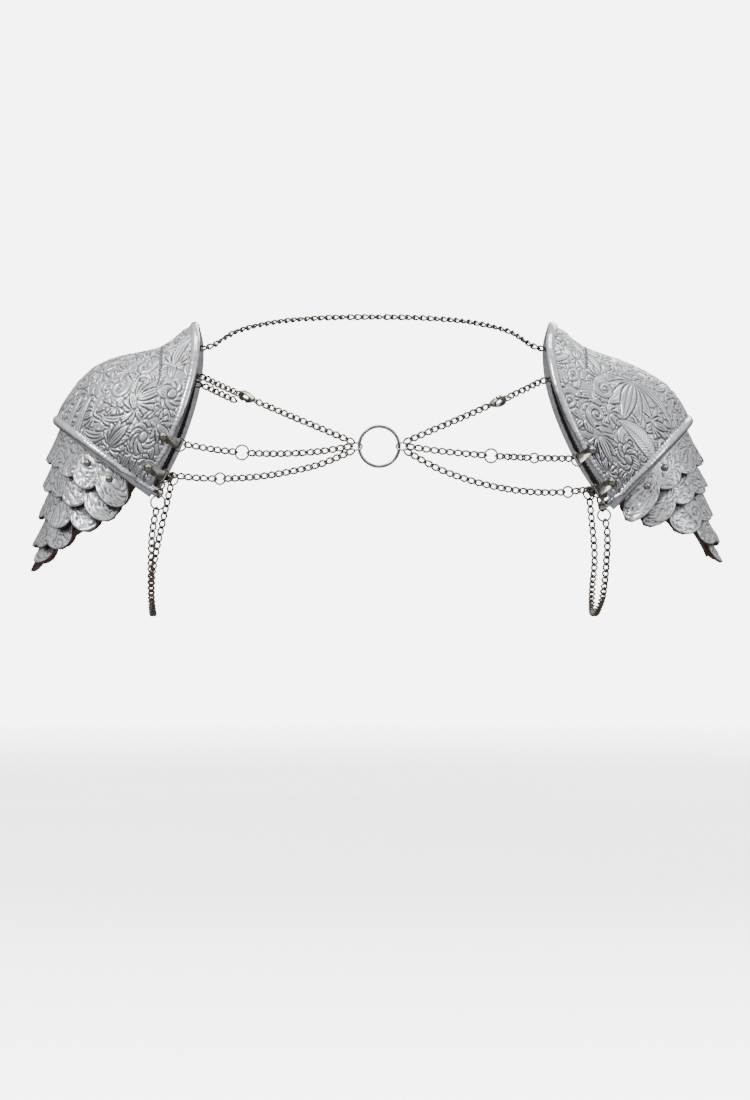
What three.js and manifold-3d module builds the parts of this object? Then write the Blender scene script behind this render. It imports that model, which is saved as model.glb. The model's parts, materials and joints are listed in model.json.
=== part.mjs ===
// A pair of leather shoulder pauldrons joined by a chain harness, in millimetres.
// +Z is up and the front faces -Y. Left and right are as seen from the front.
// The origin lies midway between the two places where the caps sit on the shoulders.
import * as THREE from "three";
import { mergeVertices } from "three/addons/utils/BufferGeometryUtils.js";
import Module from "manifold-3d";

const wasm = await Module();
wasm.setup();

// Leather and the gap between touching pieces
const capLeather = 2;
const backingLeather = 1.6;
const scaleLeather = 2;
const clearance = 0.3;

// Bound edges: a folded strip over each long edge of a cap
const bindingSkin = 1;
const bindingPlay = 0.75;
const bindingDepth = 5;
const bindingOverrun = 2;
const bindingNose = 0.55;

// Cap: a saddle between the collar arch and the hem arch
const collarX = 124.5;
const collarTopZ = 22.5;
const hemX = 228;
const hemZ = -48.5;
const capHalfDepth = 62;
const cornerMargin = 2.2;
const collarFlareEndsDeg = 42;
const cornerTurnDeg = 84;
const smallTurn = 0.01;
const capSteps = 16;

// Wing of scales under each hem
const hemToWing = 6.1;
const wingTuck = 6;
const wingSteps = 12;
const rowOverlap = 10;
const scallopDepth = 5.5;
const samplesPerScale = 4;
const backingShorterBy = 9;
const backingShares = [0, 0.35, 0.7, 1];

// Metal fittings
const clipWidth = 6.6;
const clipPlate = 1;
const clipReach = 8.6;
const clipPad = 3.4;
const barrelOpening = 0.35;
const rivetRadius = 2.5;
const rivetHeight = 1.7;
const shankRadius = 1.3;
const wingRivetRadius = 3;
const rivetFlange = 0.8;
const shankGap = 0.7;
const edgeRingRadius = 4.7;
const edgeRingWire = 1.5;
const hookPlate = 8;
const hookPlateThickness = 1.2;
const hookPlateGap = 1.6;
const passDepth = 5.5;
const hookEyeRadius = 3.1;
const hookWire = 1.5;
const centreRingRadius = 14;
const centreRingWire = 2.3;
const centreRingX = 4.3;
const centreRingY = -92;
const centreRingZ = -67.4;
const smallRingRadius = 4;
const smallRingWire = 1.3;
const joiningTiltDeg = 40;
const wireSides = 5;
const ringSteps = 10;
const rivetSides = 8;

// Chains, as tubes of the outer width of their links
const chainWidth = 5.4;
const chainSides = 8;
const chainStep = 16;

// Where the strands leave the joining rings, and how far each bows out over the chest
const strandLayout = [
  { name: "upper", rise: 4.6, forward: 0, bow: 8 },
  { name: "middle", rise: -0.6, forward: 2.4, bow: 5 },
  { name: "lower", rise: -5.8, forward: 0, bow: 4 },
];
const upperSag = 1;

// Lobster clasps, laid out along their own length
const claspLength = 12.9;
const claspEyeRadius = 2.1;
const claspWall = 1.5;
const claspThickness = 3.6;
const leverThickness = 2;
const pivotAlong = 3.4;
const pivotAcross = 1.5;
const pinRadius = 0.45;
const leverRootRadius = 1.15;
const baseEyeRadius = 1.7;
const baseEyeWire = 1.1;
const claspRollDeg = 35;
const clawBack = [
  { along: 0, half: 0.36 },
  { along: 0.16, half: 0.58 },
  { along: 0.45, half: 0.95 },
];
const eyeWall = 0.1;
const gateWall = 0.45;
const gateLip = 0.3;
const gateFloor = 0.9;
const leverPlay = 0.5;
const nubSetback = 2;
const nubLength = 1.2;
const nubHeight = 0.7;

// How a cap's collar edge leans out as it comes down, as shares of its height and of its spread
const collarLean = [
  { down: 0, out: 0.06 },
  { down: 0.12, out: 0 },
  { down: 0.3, out: 0.05 },
  { down: 0.45, out: 0.17 },
  { down: 0.6, out: 0.34 },
  { down: 0.75, out: 0.55 },
  { down: 0.88, out: 0.78 },
  { down: 1, out: 1 },
];

// Section of a cap from collar to hem, as shares of its width: over each crown and on the flanks
const capSection = [
  { along: 0, leftCrown: 0, rightCrown: 0, flank: 0 },
  { along: 0.08, leftCrown: 0.01, rightCrown: 0.008, flank: 0.03 },
  { along: 0.17, leftCrown: 0.001, rightCrown: -0.002, flank: 0.056 },
  { along: 0.26, leftCrown: 0.008, rightCrown: 0.002, flank: 0.076 },
  { along: 0.36, leftCrown: 0.048, rightCrown: 0.03, flank: 0.092 },
  { along: 0.48, leftCrown: 0.1, rightCrown: 0.065, flank: 0.104 },
  { along: 0.6, leftCrown: 0.13, rightCrown: 0.088, flank: 0.106 },
  { along: 0.72, leftCrown: 0.123, rightCrown: 0.1, flank: 0.095 },
  { along: 0.82, leftCrown: 0.094, rightCrown: 0.085, flank: 0.073 },
  { along: 0.92, leftCrown: 0.052, rightCrown: 0.044, flank: 0.036 },
  { along: 1, leftCrown: 0, rightCrown: 0, flank: 0 },
];

// Lower outline of each wing: how far it hangs, as a share of its length, for each turn round the arm
const leftWingOutline = [
  { turn: 0, drop: 1 },
  { turn: 12, drop: 0.95 },
  { turn: 28, drop: 0.82 },
  { turn: 40, drop: 0.7 },
  { turn: 52, drop: 0.55 },
  { turn: 62, drop: 0.42 },
  { turn: 70, drop: 0.3 },
  { turn: 77, drop: 0.14 },
];
const rightWingOutline = [
  { turn: 0, drop: 1 },
  { turn: 10, drop: 0.91 },
  { turn: 20, drop: 0.78 },
  { turn: 32, drop: 0.68 },
  { turn: 44, drop: 0.6 },
  { turn: 55, drop: 0.47 },
  { turn: 66, drop: 0.34 },
  { turn: 75, drop: 0.24 },
  { turn: 82, drop: 0.15 },
];

// Rows of scales from the hem down: the drop of their tips, as a share of the wing, and their number
const leftScaleRows = [
  { tip: 0.27, endDeg: 76, scales: 11 },
  { tip: 0.45, endDeg: 70, scales: 10 },
  { tip: 0.64, endDeg: 57, scales: 9 },
  { tip: 0.83, endDeg: 39, scales: 6 },
  { tip: 1, endDeg: 22, scales: 3 },
];
const rightScaleRows = [
  { tip: 0.27, endDeg: 81, scales: 9 },
  { tip: 0.45, endDeg: 68, scales: 8 },
  { tip: 0.64, endDeg: 48, scales: 6 },
  { tip: 0.83, endDeg: 25, scales: 4 },
  { tip: 1, endDeg: 12, scales: 2 },
];

// The two sides are worn slightly unevenly, so each has its own corner, wing and fittings.
// Heights of clips and hooks are shares of the collar edge, from its top to the corner.
const sides = [
  {
    name: "left",
    sign: -1,
    cornerX: 160,
    cornerZ: -99,
    tail: true,
    wingLength: 107,
    wingLean: 0.13,
    outline: leftWingOutline,
    rows: leftScaleRows,
    middleClip: 0.705,
    lowerClip: 0.885,
    claspAt: 0.62,
    middleSag: 5.5,
    lowerSag: 8,
    middleRings: [{ at: 0.65, radius: 5.1 }],
    lowerRings: [{ at: 0.73, radius: 4 }],
    underArmRings: [{ at: 0.05, radius: 5.1 }],
  },
  {
    name: "right",
    sign: 1,
    cornerX: 171.5,
    cornerZ: -107.5,
    tail: false,
    wingLength: 105,
    wingLean: 0.2,
    outline: rightWingOutline,
    rows: rightScaleRows,
    middleClip: 0.735,
    lowerClip: 0.905,
    claspAt: 0.57,
    middleSag: 2,
    lowerSag: 11,
    middleRings: [
      { at: 0.5, radius: 4.8 },
      { at: 0.77, radius: 3.4 },
    ],
    lowerRings: [{ at: 0.88, radius: 3.8 }],
    underArmRings: [{ at: 0.05, radius: 4.5 }],
  },
];
const frontHookAt = 0.28;
const backHookAt = 0.075;
const claspRingRadius = 3.6;
const tailGap = 0.5;

// Rivets that hold each wing's first row, by turn round the arm and drop below the hem
const wingRivets = [
  { turn: -51, drop: 11 },
  { turn: -66.5, drop: 10.5 },
];

// Chosen points of the chains that hang under each arm, by how far out each side's lies, and over the back
const underArmRoute = [
  { y: -70, z: -126, left: 155, right: 164.6 },
  { y: -63, z: -148, left: 156.5, right: 164.4 },
  { y: -45, z: -171, left: 157.5, right: 163 },
  { y: -20, z: -183, left: 158, right: 160.5 },
  { y: 2, z: -186, left: 158.5, right: 159 },
  { y: 26, z: -182, left: 160, right: 159 },
  { y: 49, z: -167, left: 162, right: 160.5 },
  { y: 65, z: -146, left: 160.5, right: 163 },
];
const backChainRoute = [
  { x: -100, y: 33, z: 19 },
  { x: -72, y: 50, z: 27 },
  { x: -38, y: 66, z: 31 },
  { x: 0, y: 71, z: 32 },
  { x: 38, y: 66, z: 31 },
  { x: 72, y: 50, z: 27 },
  { x: 100, y: 33, z: 19 },
];

// Dome of a rivet, as shares of its radius and of its height over the plate
const rivetProfile = [
  { radius: 0, rise: -0.3 },
  { radius: 1, rise: -0.3 },
  { radius: 1, rise: 0.35 },
  { radius: 0.72, rise: 0.8 },
  { radius: 0, rise: 1 },
];

// Materials of the real pieces
const silverLeather = new THREE.MeshStandardMaterial({ color: 0xc3c4c8, roughness: 0.38, metalness: 0.75 });
const mirrorLeather = new THREE.MeshStandardMaterial({ color: 0xd8dade, roughness: 0.22, metalness: 0.9 });
const darkLeather = new THREE.MeshStandardMaterial({ color: 0x4a2e28, roughness: 0.75, metalness: 0 });
const warmNickel = new THREE.MeshStandardMaterial({ color: 0xaaa198, roughness: 0.25, metalness: 1 });
const darkNickel = new THREE.MeshStandardMaterial({ color: 0x85837f, roughness: 0.3, metalness: 1 });

const pauldrons = new THREE.Group();

function addPiece(name, geometry, material) {
  const mesh = new THREE.Mesh(geometry, material.clone());
  mesh.name = name;
  pauldrons.add(mesh);
}

// A smooth curve through the rows of a table, from the column key to the column value.
function curveThrough(rows, key, value) {
  const slopes = rows.map((row, i) => {
    const before = rows[Math.max(i - 1, 0)];
    const after = rows[Math.min(i + 1, rows.length - 1)];
    return (after[value] - before[value]) / (after[key] - before[key]);
  });
  return (at) => {
    const last = rows.length - 2;
    let i = 0;
    while (i < last && at > rows[i + 1][key]) i += 1;
    const width = rows[i + 1][key] - rows[i][key];
    const t = THREE.MathUtils.clamp((at - rows[i][key]) / width, 0, 1);
    const rising = t * t * (3 - 2 * t);
    const leaving = t * (1 - t) * (1 - t) * width * slopes[i];
    const arriving = t * t * (1 - t) * width * slopes[i + 1];
    return rows[i][value] * (1 - rising) + rows[i + 1][value] * rising + leaving - arriving;
  };
}

const edgeBand = capSection[1].along;
const leanAt = curveThrough(collarLean, "down", "out");
const flankRise = curveThrough(capSection, "along", "flank");
const crownRise = {
  left: curveThrough(capSection, "along", "leftCrown"),
  right: curveThrough(capSection, "along", "rightCrown"),
};

// A closed geometry from rings of points: each ring has the same number of points.
// Without closeEnds the last ring joins the first.
function loft(rings, closeEnds = true) {
  const count = rings[0].length;
  const positions = rings.flat().flatMap((p) => [p.x, p.y, p.z]);
  const faces = [];
  const spans = closeEnds ? rings.length - 1 : rings.length;
  for (let i = 0; i < spans; i += 1) {
    for (let j = 0; j < count; j += 1) {
      const a = i * count + j;
      const b = i * count + ((j + 1) % count);
      const c = ((i + 1) % rings.length) * count + ((j + 1) % count);
      const d = ((i + 1) % rings.length) * count + j;
      faces.push(a, b, c, a, c, d);
    }
  }
  const geometry = new THREE.BufferGeometry();
  geometry.setAttribute("position", new THREE.Float32BufferAttribute(positions, 3));
  return { geometry, faces, count };
}

// Turns a geometry the right way out where a mirrored or reversed sweep left it inside out.
function facingOut(geometry) {
  const position = geometry.getAttribute("position");
  const index = Array.from(geometry.index.array);
  const a = new THREE.Vector3();
  const b = new THREE.Vector3();
  const c = new THREE.Vector3();
  let volume = 0;
  for (let i = 0; i < index.length; i += 3) {
    a.fromBufferAttribute(position, index[i]);
    b.fromBufferAttribute(position, index[i + 1]);
    c.fromBufferAttribute(position, index[i + 2]);
    volume += a.dot(b.cross(c));
  }
  if (volume < 0) {
    for (let i = 0; i < index.length; i += 3) {
      [index[i + 1], index[i + 2]] = [index[i + 2], index[i + 1]];
    }
    geometry.setIndex(index);
  }
  return geometry;
}

// A sweep of a section through rings of points, with flat ends cut into triangles.
function sweep(rings, sectionTriangles) {
  const { geometry, faces, count } = loft(rings);
  const last = (rings.length - 1) * count;
  sectionTriangles.forEach(([a, b, c]) => {
    faces.push(a, c, b, last + a, last + b, last + c);
  });
  geometry.setIndex(faces);
  return facingOut(geometry);
}

// A closed loop of a round wire along points, lying in the plane of the given normal.
function wireLoop(points, wire, planeNormal) {
  const rings = points.map((point, i) => {
    const before = points[(i + points.length - 1) % points.length];
    const after = points[(i + 1) % points.length];
    const tangent = after.clone().sub(before).normalize();
    const across = new THREE.Vector3().crossVectors(planeNormal, tangent).normalize();
    return Array.from({ length: wireSides }, (_, k) => {
      const angle = (2 * Math.PI * k) / wireSides;
      return point
        .clone()
        .addScaledVector(across, (wire / 2) * Math.cos(angle))
        .addScaledVector(planeNormal, (wire / 2) * Math.sin(angle));
    });
  });
  const { geometry, faces } = loft(rings, false);
  geometry.setIndex(faces);
  return facingOut(geometry);
}

// A leather sheet between a grid of outer points and a grid of inner points.
function sheet(outer, inner) {
  const rows = outer.length;
  const columns = outer[0].length;
  const size = rows * columns;
  const positions = [...outer.flat(), ...inner.flat()].flatMap((p) => [p.x, p.y, p.z]);
  const faces = [];
  const quad = (a, b, c, d) => faces.push(a, b, c, a, c, d);
  for (let i = 0; i < rows - 1; i += 1) {
    for (let j = 0; j < columns - 1; j += 1) {
      const a = i * columns + j;
      quad(a, a + 1, a + columns + 1, a + columns);
      quad(size + a, size + a + columns, size + a + columns + 1, size + a + 1);
    }
  }
  for (let i = 0; i < rows - 1; i += 1) {
    const start = i * columns;
    const end = start + columns - 1;
    quad(start + columns, size + start + columns, size + start, start);
    quad(end, size + end, size + end + columns, end + columns);
  }
  for (let j = 0; j < columns - 1; j += 1) {
    const last = (rows - 1) * columns + j;
    quad(j, size + j, size + j + 1, j + 1);
    quad(last + 1, size + last + 1, size + last, last);
  }
  const geometry = new THREE.BufferGeometry();
  geometry.setAttribute("position", new THREE.Float32BufferAttribute(positions, 3));
  geometry.setIndex(faces);
  return facingOut(geometry);
}

function toSolid(geometry) {
  const bare = geometry.clone();
  bare.deleteAttribute("normal");
  bare.deleteAttribute("uv");
  const merged = mergeVertices(bare, 1e-4);
  return new wasm.Manifold(
    new wasm.Mesh({
      numProp: 3,
      vertProperties: merged.attributes.position.array,
      triVerts: new Uint32Array(merged.index.array),
    }),
  );
}

function toGeometry(solid) {
  const mesh = solid.getMesh();
  const geometry = new THREE.BufferGeometry();
  geometry.setAttribute("position", new THREE.BufferAttribute(new Float32Array(mesh.vertProperties), 3));
  geometry.setIndex(new THREE.BufferAttribute(new Uint32Array(mesh.triVerts), 1));
  return geometry;
}

function joined(...geometries) {
  const solids = geometries.map(toSolid);
  return solids.slice(1).reduce((whole, solid) => whole.add(solid), solids[0]);
}

// Mirrors points of the right-hand form onto a side.
function onSide(side, point) {
  return new THREE.Vector3(side.sign * point.x, point.y, point.z);
}

// The collar edge of a cap for a turn from -90 degrees, front, over 0, the crown, to 90, back.
function collarPoint(side, turn) {
  const height = collarTopZ - side.cornerZ;
  const reach = 1 - (bindingDepth + cornerMargin) / height;
  const down = (1 - Math.cos(turn)) * reach;
  return new THREE.Vector3(
    collarX + leanAt(down) * (side.cornerX - collarX),
    capHalfDepth * Math.sin(turn),
    collarTopZ - down * height,
  );
}

// The hem edge of a cap, straight in front view from the crown to the corner.
function hemPoint(side, turn) {
  const reach = 1 - Math.cos(turn);
  return new THREE.Vector3(
    hemX - reach * (hemX - side.cornerX),
    capHalfDepth * Math.sin(turn),
    hemZ - reach * (hemZ - side.cornerZ),
  );
}

// The middle of the cap's leather, at a share along its width from collar to hem.
function capPoint(side, turn, along) {
  const collar = collarPoint(side, turn);
  const chord = hemPoint(side, turn).sub(collar);
  const width = chord.length();
  const over = new THREE.Vector3(hemZ - collarTopZ, 0, collarX - hemX).normalize().negate();
  const outward = over.multiplyScalar(Math.cos(turn));
  outward.y = Math.sin(turn);
  const direction = chord.clone().normalize();
  outward.addScaledVector(direction, -outward.dot(direction)).normalize();
  const flank = THREE.MathUtils.smoothstep(Math.abs(turn), 0, THREE.MathUtils.degToRad(collarFlareEndsDeg));
  const rise = THREE.MathUtils.lerp(crownRise[side.name](along), flankRise(along), flank);
  return collar.addScaledVector(chord, along).addScaledVector(outward, rise * width);
}

function capNormal(side, turn, along) {
  const steepest = THREE.MathUtils.degToRad(cornerTurnDeg);
  const at = THREE.MathUtils.clamp(turn, -steepest, steepest);
  const from = Math.max(along - edgeBand, 0);
  const to = Math.min(along + edgeBand, 1);
  const across = capPoint(side, at, to).sub(capPoint(side, at, from));
  const round = capPoint(side, at + smallTurn, along).sub(capPoint(side, at - smallTurn, along));
  return across.cross(round).normalize();
}

// The value between two bounds at which a rising or falling function crosses zero.
function solve(crossing, low, high) {
  const rising = crossing(high) > crossing(low);
  let from = low;
  let to = high;
  for (let i = 0; i < 24; i += 1) {
    const middle = (from + to) / 2;
    if (crossing(middle) > 0 === rising) to = middle;
    else from = middle;
  }
  return (from + to) / 2;
}

// The point of a cap's face straight in from a long edge, at a distance from it.
function acrossFromEdge(side, turn, edge, point, alongEdge, distance) {
  const quarter = Math.PI / 2;
  const low = Math.max(turn - quarter / 2, -quarter);
  const high = Math.min(turn + quarter / 2, quarter);
  const faceAt = (share) => {
    const along = edge < 0.5 ? share : 1 - share;
    const offset = (at) => capPoint(side, at, along).sub(point).dot(alongEdge);
    return capPoint(side, solve(offset, low, high), along);
  };
  const share = solve((at) => faceAt(at).distanceTo(point) - distance, 0, 0.9);
  return faceAt(share);
}

// Place on a long edge of a cap: the edge, the direction along it, into the leather, and out of its face.
function edgeFrame(side, turn, edge) {
  const edgeAt = edge < 0.5 ? collarPoint : hemPoint;
  const point = edgeAt(side, turn);
  const alongEdge = edgeAt(side, turn + smallTurn)
    .sub(edgeAt(side, turn - smallTurn))
    .normalize();
  const inward = acrossFromEdge(side, turn, edge, point, alongEdge, bindingDepth).sub(point);
  inward.addScaledVector(alongEdge, -inward.dot(alongEdge)).normalize();
  const out = new THREE.Vector3().crossVectors(alongEdge, inward);
  if (edge < 0.5) out.negate();
  return { point, alongEdge, inward, out };
}

function steps(count, from, to) {
  return Array.from({ length: count + 1 }, (_, i) => from + ((to - from) * i) / count);
}

const bindingHalf = capLeather / 2 + bindingPlay + bindingSkin;
const fullTurns = steps(capSteps, -Math.PI / 2, Math.PI / 2);

function capShell(side) {
  const layer = (offset) =>
    fullTurns.map((turn) =>
      capSection.map(({ along }) => {
        const atEdge = along === 0 || along === 1;
        const normal = atEdge ? edgeFrame(side, turn, along).out : capNormal(side, turn, along);
        return onSide(side, capPoint(side, turn, along).addScaledVector(normal, offset));
      }),
    );
  return sheet(layer(capLeather / 2), layer(-capLeather / 2));
}

// The folded strip over a cap's edge: a U-shaped section that holds the leather's edge.
function bindingStrip(side, along) {
  const slot = capLeather / 2 + bindingPlay;
  const half = bindingHalf;
  const nose = clearance + bindingSkin;
  const section = [
    { into: bindingDepth, out: half },
    { into: bindingDepth, out: slot },
    { into: -clearance, out: slot },
    { into: -clearance, out: -slot },
    { into: bindingDepth, out: -slot },
    { into: bindingDepth, out: -half },
    { into: -clearance, out: -half },
    { into: -nose, out: -half * bindingNose },
    { into: -nose, out: half * bindingNose },
    { into: -clearance, out: half },
  ];
  const sectionTriangles = [
    [0, 1, 9],
    [1, 2, 9],
    [2, 8, 9],
    [2, 3, 8],
    [3, 7, 8],
    [3, 6, 7],
    [3, 4, 6],
    [4, 5, 6],
  ];
  const ring = (frame, shift) =>
    section.map(({ into, out }) =>
      onSide(
        side,
        frame.point
          .clone()
          .addScaledVector(frame.inward, into)
          .addScaledVector(frame.out, out)
          .addScaledVector(frame.alongEdge, shift),
      ),
    );
  const frames = fullTurns.map((turn) => edgeFrame(side, turn, along));
  const rings = frames.map((frame) => ring(frame, 0));
  if (along > 0.5) {
    rings.unshift(ring(frames[0], -bindingOverrun));
    rings.push(ring(frames[frames.length - 1], bindingOverrun));
  }
  return sweep(rings, sectionTriangles);
}

// Outward direction of a wing, level, at a turn round the arm.
function wingOut(side, turn) {
  const reach = hemX - side.cornerX;
  return new THREE.Vector3(capHalfDepth * Math.cos(turn), reach * Math.sin(turn), 0).normalize();
}

// A point of a wing: the drop is measured down from the hem and the lift out from the backing's face.
function wingPoint(side, turn, drop, lift) {
  const out = wingOut(side, turn);
  return hemPoint(side, turn)
    .addScaledVector(out, lift - hemToWing + drop * side.wingLean * Math.cos(turn))
    .add(new THREE.Vector3(0, 0, -drop));
}

function wingBacking(side) {
  const dropAt = curveThrough(side.outline, "turn", "drop");
  const lastTurn = side.outline[side.outline.length - 1].turn;
  const turns = steps(wingSteps, -lastTurn, lastTurn);
  const layer = (lift) =>
    turns.map((degrees) => {
      const length = side.wingLength * dropAt(Math.abs(degrees)) - backingShorterBy;
      return backingShares.map((share) => {
        const drop = -wingTuck + share * (wingTuck + length);
        return onSide(side, wingPoint(side, THREE.MathUtils.degToRad(degrees), drop, lift));
      });
    });
  return sheet(layer(0), layer(-backingLeather));
}

// Where each row of scales starts, and the even tilt that lets each row clear the next one down.
function rowLayout(side) {
  const tips = side.rows.map((row) => row.tip * side.wingLength);
  const roots = tips.map((tip, i) => (i === 0 ? 0 : tips[i - 1] - rowOverlap));
  const pitches = roots.slice(1).map((root, i) => root - roots[i]);
  const tilt = (scaleLeather + clearance) / Math.min(...pitches);
  return { tips, roots, tilt };
}

// A row of scales: one strip whose lower edge is scalloped, hung over the row below it.
function scaleRow(side, rowIndex) {
  const { tips, roots, tilt } = rowLayout(side);
  const { endDeg, scales } = side.rows[rowIndex];
  const dropAt = curveThrough(side.outline, "turn", "drop");
  const turns = steps(scales * samplesPerScale, -endDeg, endDeg);
  const root = roots[rowIndex];
  const layer = (lift) =>
    turns.map((degrees, i) => {
      const across = ((i % samplesPerScale) / samplesPerScale) * 2 - 1;
      const scallop = scallopDepth * (1 - Math.sqrt(1 - across * across));
      const limit = side.wingLength * dropAt(Math.abs(degrees));
      const tip = Math.min(tips[rowIndex], limit) - scallop;
      const turn = THREE.MathUtils.degToRad(degrees);
      return [root, Math.max(tip, root + scallopDepth)].map((drop) =>
        onSide(side, wingPoint(side, turn, drop, clearance + tilt * (drop - root) + lift)),
      );
    });
  return sheet(layer(scaleLeather), layer(0));
}

// A domed rivet through a wing's first row of scales.
function wingRivet(side, degrees, drop) {
  const turn = THREE.MathUtils.degToRad(degrees);
  const { roots, tilt } = rowLayout(side);
  const lift = clearance + tilt * (drop - roots[0]) + scaleLeather + rivetFlange / 2 + 2 * clearance;
  const point = wingPoint(side, turn, drop, lift);
  const inward = wingPoint(side, turn, drop + 1, lift + tilt).sub(point).normalize();
  const out = wingOut(side, turn);
  out.addScaledVector(inward, -out.dot(inward)).normalize();
  const frame = { point, inward, out };
  const flange = new THREE.CylinderGeometry(wingRivetRadius, wingRivetRadius, rivetFlange, rivetSides);
  const dome = rivetDome(0).scale(wingRivetRadius / clipPad, 1, wingRivetRadius / clipPad);
  return toGeometry(joined(flange, dome)).applyMatrix4(fittingMatrix(side, frame));
}

// The turn at which the front of the collar edge is the given share of the way down.
function turnAtShare(side, share) {
  const reach = 1 - (bindingDepth + cornerMargin) / (collarTopZ - side.cornerZ);
  return -Math.acos(1 - share / reach);
}

// A matrix that lays a fitting on an edge: X into the leather, Y out of its face, Z along the edge.
function fittingMatrix(side, frame) {
  const into = onSide(side, frame.inward);
  const out = onSide(side, frame.out);
  const alongEdge = new THREE.Vector3().crossVectors(into, out);
  return new THREE.Matrix4().makeBasis(into, out, alongEdge).setPosition(onSide(side, frame.point));
}

const barrelBore = edgeRingWire / 2 + clearance;
const barrelRadius = barrelBore + clipPlate;
const barrelInto = -(clearance + bindingSkin + clearance + barrelRadius);
const plateFace = bindingHalf + clearance;
const barrelOut = plateFace + clipPlate - barrelRadius;

// A domed rivet standing on a plate at the height given, about the Y axis.
function rivetDome(height) {
  const profile = rivetProfile.map(
    ({ radius, rise }) => new THREE.Vector2(rivetRadius * radius, height + rivetHeight * rise),
  );
  return new THREE.LatheGeometry(profile, rivetSides);
}

// A metal clip folded round an edge ring's bar and riveted through the cap beside the binding.
function edgeClip(side, frame) {
  const outline = new THREE.Shape();
  outline.moveTo(barrelInto, plateFace + clipPlate);
  outline.absarc(barrelInto, barrelOut, barrelRadius, Math.PI / 2, Math.PI * 2 - barrelOpening, false);
  outline.lineTo(barrelInto + barrelRadius, plateFace);
  outline.lineTo(clipReach, plateFace);
  outline.lineTo(clipReach, plateFace + clipPlate);
  const bore = new THREE.Path();
  bore.absarc(barrelInto, barrelOut, barrelBore, 0, Math.PI * 2, true);
  outline.holes.push(bore);
  const strapOptions = { depth: clipWidth, bevelEnabled: false, curveSegments: 3 };
  const strap = new THREE.ExtrudeGeometry(outline, strapOptions);
  strap.translate(0, 0, -clipWidth / 2);
  const pad = new THREE.CylinderGeometry(clipPad, clipPad, clipPlate, rivetSides);
  pad.translate(clipReach, plateFace + clipPlate / 2, 0);
  const dome = rivetDome(plateFace + clipPlate);
  dome.translate(clipReach, 0, 0);
  const shankFoot = capLeather / 2 + shankGap;
  const shankHead = plateFace + clipPlate / 2;
  const shank = new THREE.CylinderGeometry(shankRadius, shankRadius, shankHead - shankFoot, wireSides);
  shank.translate(clipReach, (shankHead + shankFoot) / 2, 0);
  return toGeometry(joined(strap, pad, dome, shank)).applyMatrix4(fittingMatrix(side, frame));
}

// The D-shaped ring whose bar turns in a clip's barrel, in the clip's own axes.
function edgeRing(side, frame) {
  const bow = steps(8, 0, Math.PI).map(
    (angle) =>
      new THREE.Vector3(
        barrelInto - edgeRingWire - edgeRingRadius * Math.sin(angle),
        barrelOut,
        edgeRingRadius * Math.cos(angle),
      ),
  );
  const bar = [-1, 1].map((end) => new THREE.Vector3(barrelInto, barrelOut, end * edgeRingRadius));
  const loop = wireLoop([...bow, ...bar], edgeRingWire, new THREE.Vector3(0, 1, 0));
  return loop.applyMatrix4(fittingMatrix(side, frame));
}

// Where a chain that comes from a place meets the bow of an edge ring.
function edgeRingPoint(side, frame, from) {
  const matrix = fittingMatrix(side, frame);
  const bowCentre = new THREE.Vector3(barrelInto - edgeRingWire, barrelOut, 0);
  const toward = from.clone().applyMatrix4(matrix.clone().invert()).sub(bowCentre);
  toward.x = Math.min(toward.x, 0);
  const reach = edgeRingRadius + edgeRingWire / 2 + 2 * clearance;
  return bowCentre.addScaledVector(toward.normalize(), reach).applyMatrix4(matrix);
}

// Mirrors an edge frame from the front of a cap to its back.
function toBack(frame) {
  const flip = (v) => new THREE.Vector3(v.x, -v.y, v.z);
  return {
    point: flip(frame.point),
    alongEdge: flip(frame.alongEdge),
    inward: flip(frame.inward),
    out: flip(frame.out),
  };
}

// Place on the face of a cap just inside the collar binding, for a hook plate.
function hookFrame(side, turn) {
  const edge = edgeFrame(side, turn, 0);
  const distance = bindingDepth + 2 * bindingPlay + hookPlate / 2;
  const point = acrossFromEdge(side, turn, 0, edge.point, edge.alongEdge, distance);
  const further = acrossFromEdge(side, turn, 0, edge.point, edge.alongEdge, distance + hookPlate / 2);
  const inward = further.sub(point);
  inward.addScaledVector(edge.alongEdge, -inward.dot(edge.alongEdge)).normalize();
  const out = new THREE.Vector3().crossVectors(inward, edge.alongEdge);
  return { point, alongEdge: edge.alongEdge, inward, out };
}

const hookPlateOut = -(capLeather / 2 + hookPlateGap + hookPlateThickness / 2);

// A plain eye plate inside the collar, which holds the end of a chain.
function collarHook(side, frame) {
  const plate = new THREE.BoxGeometry(hookPlate, hookPlateThickness, hookPlate);
  plate.translate(0, hookPlateOut, 0);
  const eye = new THREE.TorusGeometry(hookEyeRadius, hookWire / 2, wireSides, ringSteps);
  eye.translate(0, hookPlateOut - hookEyeRadius, 0);
  return toGeometry(joined(plate, eye)).applyMatrix4(fittingMatrix(side, frame));
}

// Where a chain leaves its hook, and where it passes under the collar's edge on its way out.
function collarExit(side, frame) {
  const matrix = fittingMatrix(side, frame);
  const depth = hookPlateOut - hookEyeRadius;
  const reach = hookEyeRadius + hookWire / 2 + 2 * clearance;
  const hook = new THREE.Vector3(-reach * Math.SQRT1_2, depth - reach * Math.SQRT1_2, 0);
  const beyondEdge = bindingDepth + bindingPlay + hookPlate / 2 + chainWidth;
  const pass = new THREE.Vector3(-beyondEdge, depth - passDepth, 0);
  return { hook: hook.applyMatrix4(matrix), pass: pass.applyMatrix4(matrix) };
}

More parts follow.
